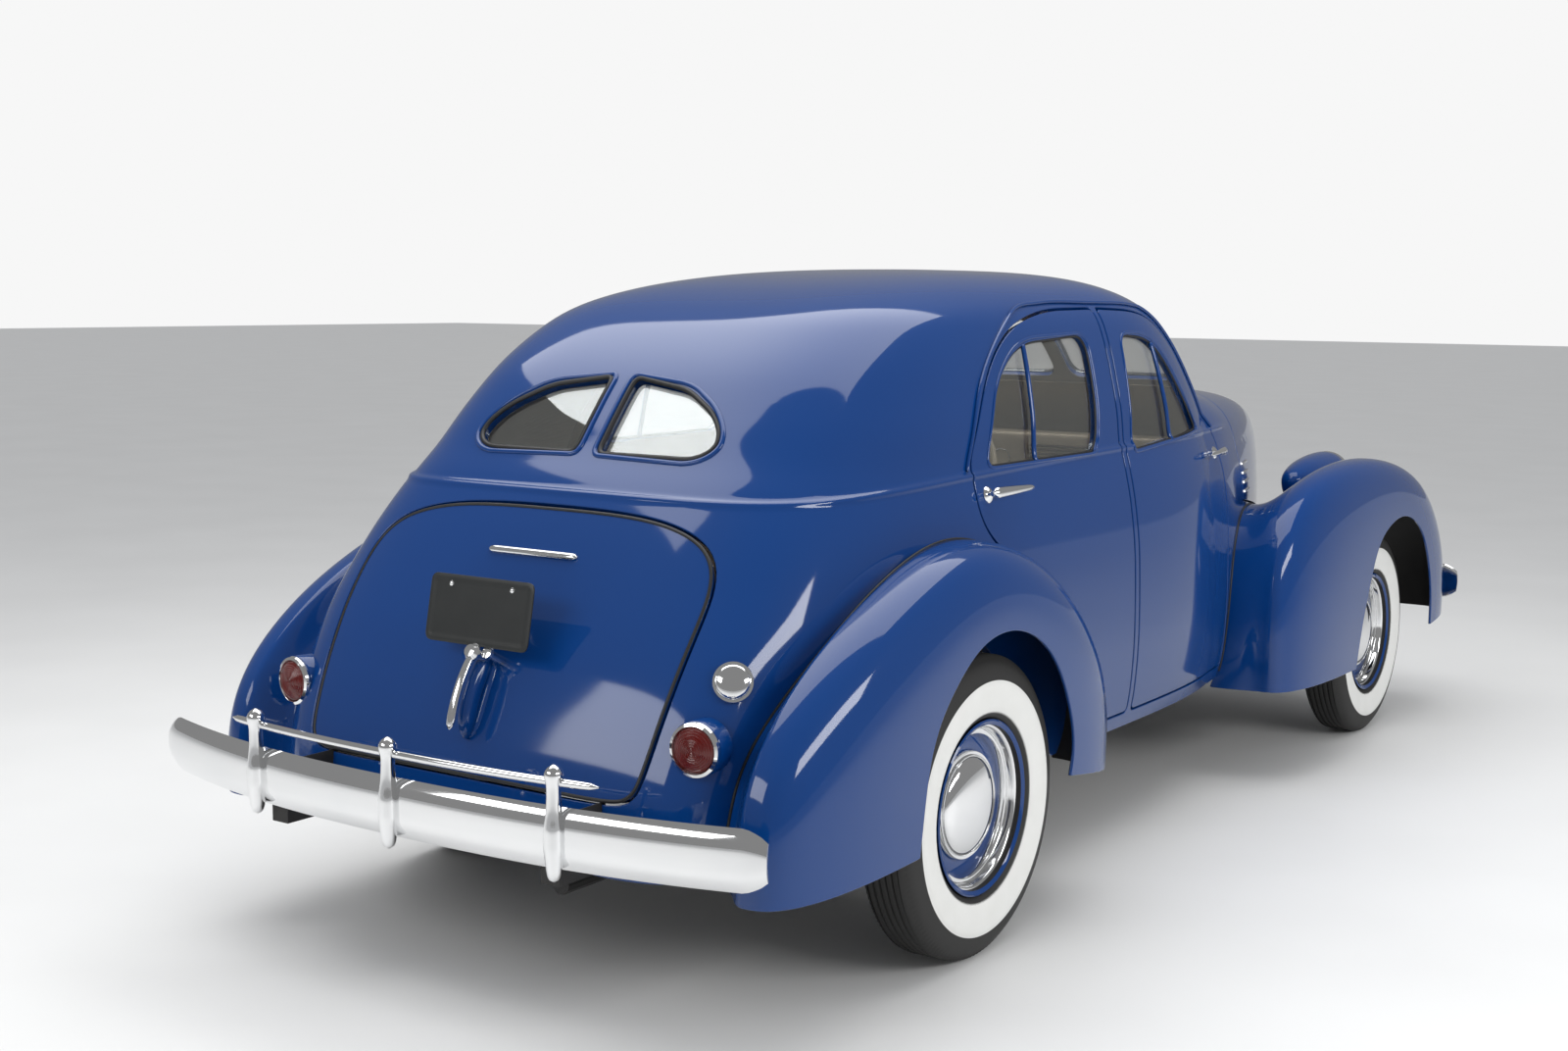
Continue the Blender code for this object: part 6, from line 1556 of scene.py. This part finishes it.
@dataclass
class Cabin:
    """Seats, dashboard and steering wheel."""

    seat_half: float = BODY_HALF - 0.157
    wheel_centre: tuple[float, float, float] = (0.330, -0.43, 0.930)
    wheel_radius: float = 0.215
    tilt: float = math.radians(32)

    def pad(self, centre: Sequence[float], half: Sequence[float], lean: float, tucks: int) -> Surface:
        """Cushion: a squared ball of three half sizes with upright tucks across its width, leaned about X."""
        u, v = np.meshgrid(np.linspace(0, 2 * math.pi, 180, endpoint=False), np.linspace(-math.pi / 2, math.pi / 2, 70))
        power = 0.42

        def bent(value: Array) -> Array:
            return np.sign(value) * np.abs(value) ** power

        x = bent(np.cos(v)) * bent(np.cos(u))
        y = bent(np.cos(v)) * bent(np.sin(u))
        z = bent(np.sin(v))
        tuck = 1 - 0.045 * np.abs(np.cos(tucks * math.pi / 2 * x)) ** 14
        points = np.stack([half[0] * x, half[1] * y * tuck, half[2] * z * tuck], axis=-1)
        pad = Surface.grid(points, wrap=True, outward=points).welded()
        return pad.moved(Matrix.Rotation(-lean, 4, "X"), centre)

    def fill(self, piece: bpy.types.Object) -> None:
        """Let air pressure fill the cover for twenty frames, without gravity, and keep the result."""
        remesh = piece.modifiers.new("remesh", "REMESH")
        remesh.mode, remesh.voxel_size = "VOXEL", 0.012
        apply_modifiers(piece)
        cloth = piece.modifiers.new("cloth", "CLOTH")
        cloth.settings.use_pressure = True
        cloth.settings.uniform_pressure_force = 4.0
        cloth.settings.effector_weights.gravity = 0.0
        cloth.point_cache.frame_end = 20
        for number in range(1, 21):
            bpy.context.scene.frame_set(number)
        apply_modifiers(piece)
        bpy.context.scene.frame_set(1)
        piece.data.shade_smooth()

    def seat(self, node: str) -> None:
        """Bench of a cushion and a back inside the node's box."""
        low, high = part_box(node)
        wide = self.seat_half - 0.012
        base_half = ((high.y - low.y - 0.10) / 2, 0.085)
        front = (low.y + 0.01 + base_half[0], low.z + 0.125)
        base = self.pad((0, front[0], front[1]), (wide, base_half[0] - 0.012, base_half[1]), 0.0, 9)
        back_z = (high.z + front[1] + 0.03) / 2
        back = self.pad((0, high.y - 0.105, back_z), (wide, 0.058, (high.z - front[1] - 0.03) / 2 - 0.012), 0.11, 9)
        for part, surface in (("cushion", base), ("back", back)):
            nodes = (node,) if part == "cushion" else ()
            piece = surface.build(f"{node}_{part}", [CLOTH], "body", *nodes, keep_normals=False, angle=60)
            self.fill(piece)

    def dash(self) -> None:
        """Rolled dashboard with three dials and a dark grille, and the trim from it up to the windscreen."""
        low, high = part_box("dashboard")
        x = np.linspace(-0.495, 0.495, 60)
        a, b = (high.y - low.y) / 2 - 0.004, (high.z - low.z) / 2 - 0.004
        angle = np.linspace(0, 2 * math.pi, 48, endpoint=False)
        bend = lambda value: np.sign(value) * np.abs(value) ** 0.45
        section = np.stack([b * bend(np.cos(angle)), a * bend(np.sin(angle))], axis=1)
        path = np.stack([x, 0 * x + (low.y + high.y) / 2, 0 * x + (low.z + high.z) / 2], axis=1)
        parts = [swept(path, np.tile([0.0, 1.0, 0.0], (60, 1)), section)]
        y, z = high.y - 0.006, (low.z + high.z) / 2 + 0.01
        for place, size in ((0.33, 0.050), (0.21, 0.034), (0.45, 0.034)):
            rim = [(0.84 * size, 0.003), (0.9 * size, 0.006), (size, 0.005), (size, 0), (0.84 * size, 0), (0.84 * size, 0.003)]
            parts.append(turned(rim, 48, (0, 1, 0), (place, y, z), 1))
            parts.append(turned([(0, 0.0025), (0.86 * size, 0.0025), (0.86 * size, 0), (0, 0)], 48, (0, 1, 0), (place, y, z), 2))
        across, up = np.meshgrid(np.linspace(-0.50, 0.50, 40), np.linspace(1.06, 1.262, 12))
        points, normals = tail_points(np.stack([across.ravel(), up.ravel()], axis=1), 0.032, True)
        parts.append(Surface.grid(points.reshape(*across.shape, 3), outward=-normals).panel(0.005, 0.001))
        for height in np.linspace(-0.06, 0.05, 9):
            path = np.linspace((-0.14, y + 0.002, z + height), (0.10, y + 0.002, z + height), 10)
            parts.append(swept(path, np.tile([0.0, 1.0, 0.0], (10, 1)), round_section(0.0045, 0.004)).marked(3))
        joined(*parts).build("dash_panel", [ENAMEL, CHROME, IVORY, DARK_ENAMEL], "body", "dashboard", keep_normals=False)

    def steering(self) -> None:
        """Thin rim, three sprung spokes, horn button and column."""
        angle = np.linspace(0, 2 * math.pi, 120, endpoint=False)
        radius = self.wheel_radius
        ring = np.stack([radius * np.cos(angle), radius * np.sin(angle), 0 * angle], axis=1)
        grip = 0.0105 * (1 + 0.06 * np.cos(36 * angle))
        rim = swept(ring, np.tile([0.0, 0.0, 1.0], (120, 1)), round_section(1, 1, 14), True, grip)
        parts = [rim]
        for spoke in (0, math.pi, -math.pi / 2):
            for spread in (-0.011, 0.0, 0.011):
                way = np.array([math.cos(spoke), math.sin(spoke), 0])
                side = np.array([-way[1], way[0], 0])
                path = np.linspace(0.03 * way, (radius - 0.004) * way, 14) + spread * side
                parts.append(swept(path, np.tile([0.0, 0.0, 1.0], (14, 1)), round_section(0.0022, 0.0022, 8)).marked(1))
        hub = [(0, 0.020), (0.018, 0.017), (0.026, 0.010), (0.030, 0.0), (0.036, -0.012), (0.022, -0.03), (0.020, -0.12),
               (0.020, -0.26), (0, -0.26)]
        parts.append(turned(hub, 40, (0, 0, 1), (0, 0, 0)))
        turn = Matrix.Rotation(-(math.pi / 2 - self.tilt), 4, "X")
        joined(*parts).moved(turn, self.wheel_centre).build("wheel_and_column", [IVORY, CHROME], "body", "steering_wheel",
                                                            keep_normals=False)

    def build(self) -> None:
        """Build the cabin's pieces."""
        self.seat("front_seat")
        self.seat("rear_seat")
        self.dash()
        self.steering()


def apply_modifiers(piece: bpy.types.Object) -> None:
    """Keep what the modifiers make of a piece as its mesh."""
    graph = bpy.context.evaluated_depsgraph_get()
    mesh = bpy.data.meshes.new_from_object(piece.evaluated_get(graph))
    piece.modifiers.clear()
    piece.data = mesh


@dataclass(frozen=True)
class Underbody:
    """The frame's own nodes that stay, in better finishes."""

    finishes: tuple[tuple[str, Finish], ...] = (
        ("chassis_frame", STEEL), ("front_axle", STEEL), ("rear_axle", STEEL), ("exhaust", STEEL),
        ("propeller_shaft", STEEL), ("fuel_tank", STEEL), ("floor_pan", STEEL), ("track_rod", STEEL),
        ("knuckle_left", STEEL), ("knuckle_right", STEEL), ("engine", ENGINE),
    )

    def dress(self) -> None:
        """Put each node's finish in its material slots."""
        for name, finish in self.finishes:
            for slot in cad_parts[name].material_slots:
                slot.material = finish.material()


@dataclass
class Studio:
    """Pale floor, soft lights, white background and the photograph's camera."""

    position: tuple[float, float, float] = (-2.94786, 5.22548, 1.53824)
    right: tuple[float, float, float] = (-0.82345, -0.56733, 0.00771)
    up: tuple[float, float, float] = (0.07377, -0.09359, 0.99287)
    forward: tuple[float, float, float] = (0.56257, -0.81815, -0.11892)
    focal_pixels: float = 1994.35
    picture_width: int = 1600

    def camera(self) -> None:
        """Camera at the photograph's angle."""
        data = bpy.data.cameras.new("camera")
        data.sensor_width = 36.0
        data.lens = 36.0 * self.focal_pixels / self.picture_width
        data.clip_end = 200.0
        piece = bpy.data.objects.new("camera", data)
        bpy.context.scene.collection.objects.link(piece)
        turn = Matrix([self.right, self.up, [-value for value in self.forward]]).transposed().to_4x4()
        turn.translation = self.position
        piece.matrix_world = turn
        bpy.context.scene.camera = piece

    def floor(self) -> None:
        """Wide floor with a faint mottle."""
        shader = Shader("pale_floor")
        patch = shader.noise(1.4, 5.0)
        shader.set(Base_Color=shader.blend((0.74, 0.74, 0.73), (0.80, 0.80, 0.79), patch))
        shader.set(Roughness=0.55 + (patch - 0.5) * 0.1)
        mesh = bpy.data.meshes.new("floor")
        reach = 60.0
        mesh.from_pydata([(-reach, -reach, 0), (reach, -reach, 0), (reach, reach, 0), (-reach, reach, 0)], [], [(0, 1, 2, 3)])
        mesh.materials.append(shader.material)
        floor = bpy.data.objects.new("floor", mesh)
        bpy.context.scene.collection.objects.link(floor)
        floor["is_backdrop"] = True

    def light(self, name: str, place: Sequence[float], target: Sequence[float], size: tuple[float, float], power: float) -> None:
        """Area light at a place, facing a target."""
        data = bpy.data.lights.new(name, "AREA")
        data.shape, data.size, data.size_y, data.energy = "RECTANGLE", *size, power
        lamp = bpy.data.objects.new(name, data)
        way = Vector(target) - Vector(place)
        lamp.matrix_world = Matrix.Translation(place) @ way.to_track_quat("-Z", "Y").to_matrix().to_4x4()
        bpy.context.scene.collection.objects.link(lamp)
        lamp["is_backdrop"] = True

    def world(self) -> None:
        """White to the camera, softly grey for light and reflections."""
        world = bpy.data.worlds.new("studio")
        world.use_nodes = True
        tree = world.node_tree
        background = tree.nodes["Background"]
        path = tree.nodes.new("ShaderNodeLightPath")
        colour = None
        for ray, level in (("Is Glossy Ray", 0.26), ("Is Camera Ray", 0.93)):
            mix = tree.nodes.new("ShaderNodeMix")
            mix.data_type = "RGBA"
            mix.inputs[6].default_value = (0.66, 0.67, 0.69, 1)
            mix.inputs[7].default_value = (level, level, level, 1)
            tree.links.new(path.outputs[ray], mix.inputs[0])
            if colour:
                tree.links.new(colour, mix.inputs[6])
            colour = mix.outputs[2]
        tree.links.new(colour, background.inputs["Color"])
        bpy.context.scene.world = world
        bpy.context.scene.view_settings.view_transform = "Standard"

    def build(self) -> None:
        """Build the studio."""
        self.camera()
        self.floor()
        self.world()
        self.light("overhead", (0.3, 0.4, 4.2), (0, 0.2, 0), (3.4, 6.0), 170)
        self.light("right_side", (-6.0, 1.2, 3.0), (0, 0.3, 0.7), (4.5, 1.0), 130)
        self.light("behind", (1.6, 6.5, 3.2), (0, 1.6, 0.7), (4.0, 1.4), 80)


def main() -> None:
    """Build every class in order, from the skin to the studio."""
    logging.basicConfig(level=logging.INFO, format="%(message)s")
    BodyShell().build()
    for side in Side:
        Door("rear_door", side, ((0.72, 1.407), (0.75, 1.110)), (1.065, 0.85)).build()
        Door("front_door", side, ((-0.09, 1.400), (-0.12, 1.118)), (-0.545, -0.36)).build()
    TrunkLid().build()
    Windows().build()
    Front().build()
    for side in Side:
        Fender(False, side).build()
        Fender(True, side).build()
        Wheel(f"front_{side.word}", side.value * FRONT_TRACK_HALF, FRONT_AXLE_Y).build()
        Wheel(f"rear_{side.word}", side.value * REAR_TRACK_HALF, REAR_AXLE_Y).build()
    Bumper("rear_bumper", 1, 0.125, (-0.438, 0.0, 0.438)).build()
    Bumper("front_bumper", -1, 0.055, (-0.438, 0.438)).build()
    Lamps().build()
    Cabin().build()
    Underbody().dress()
    Studio().build()


if __name__ == "__main__":
    main()
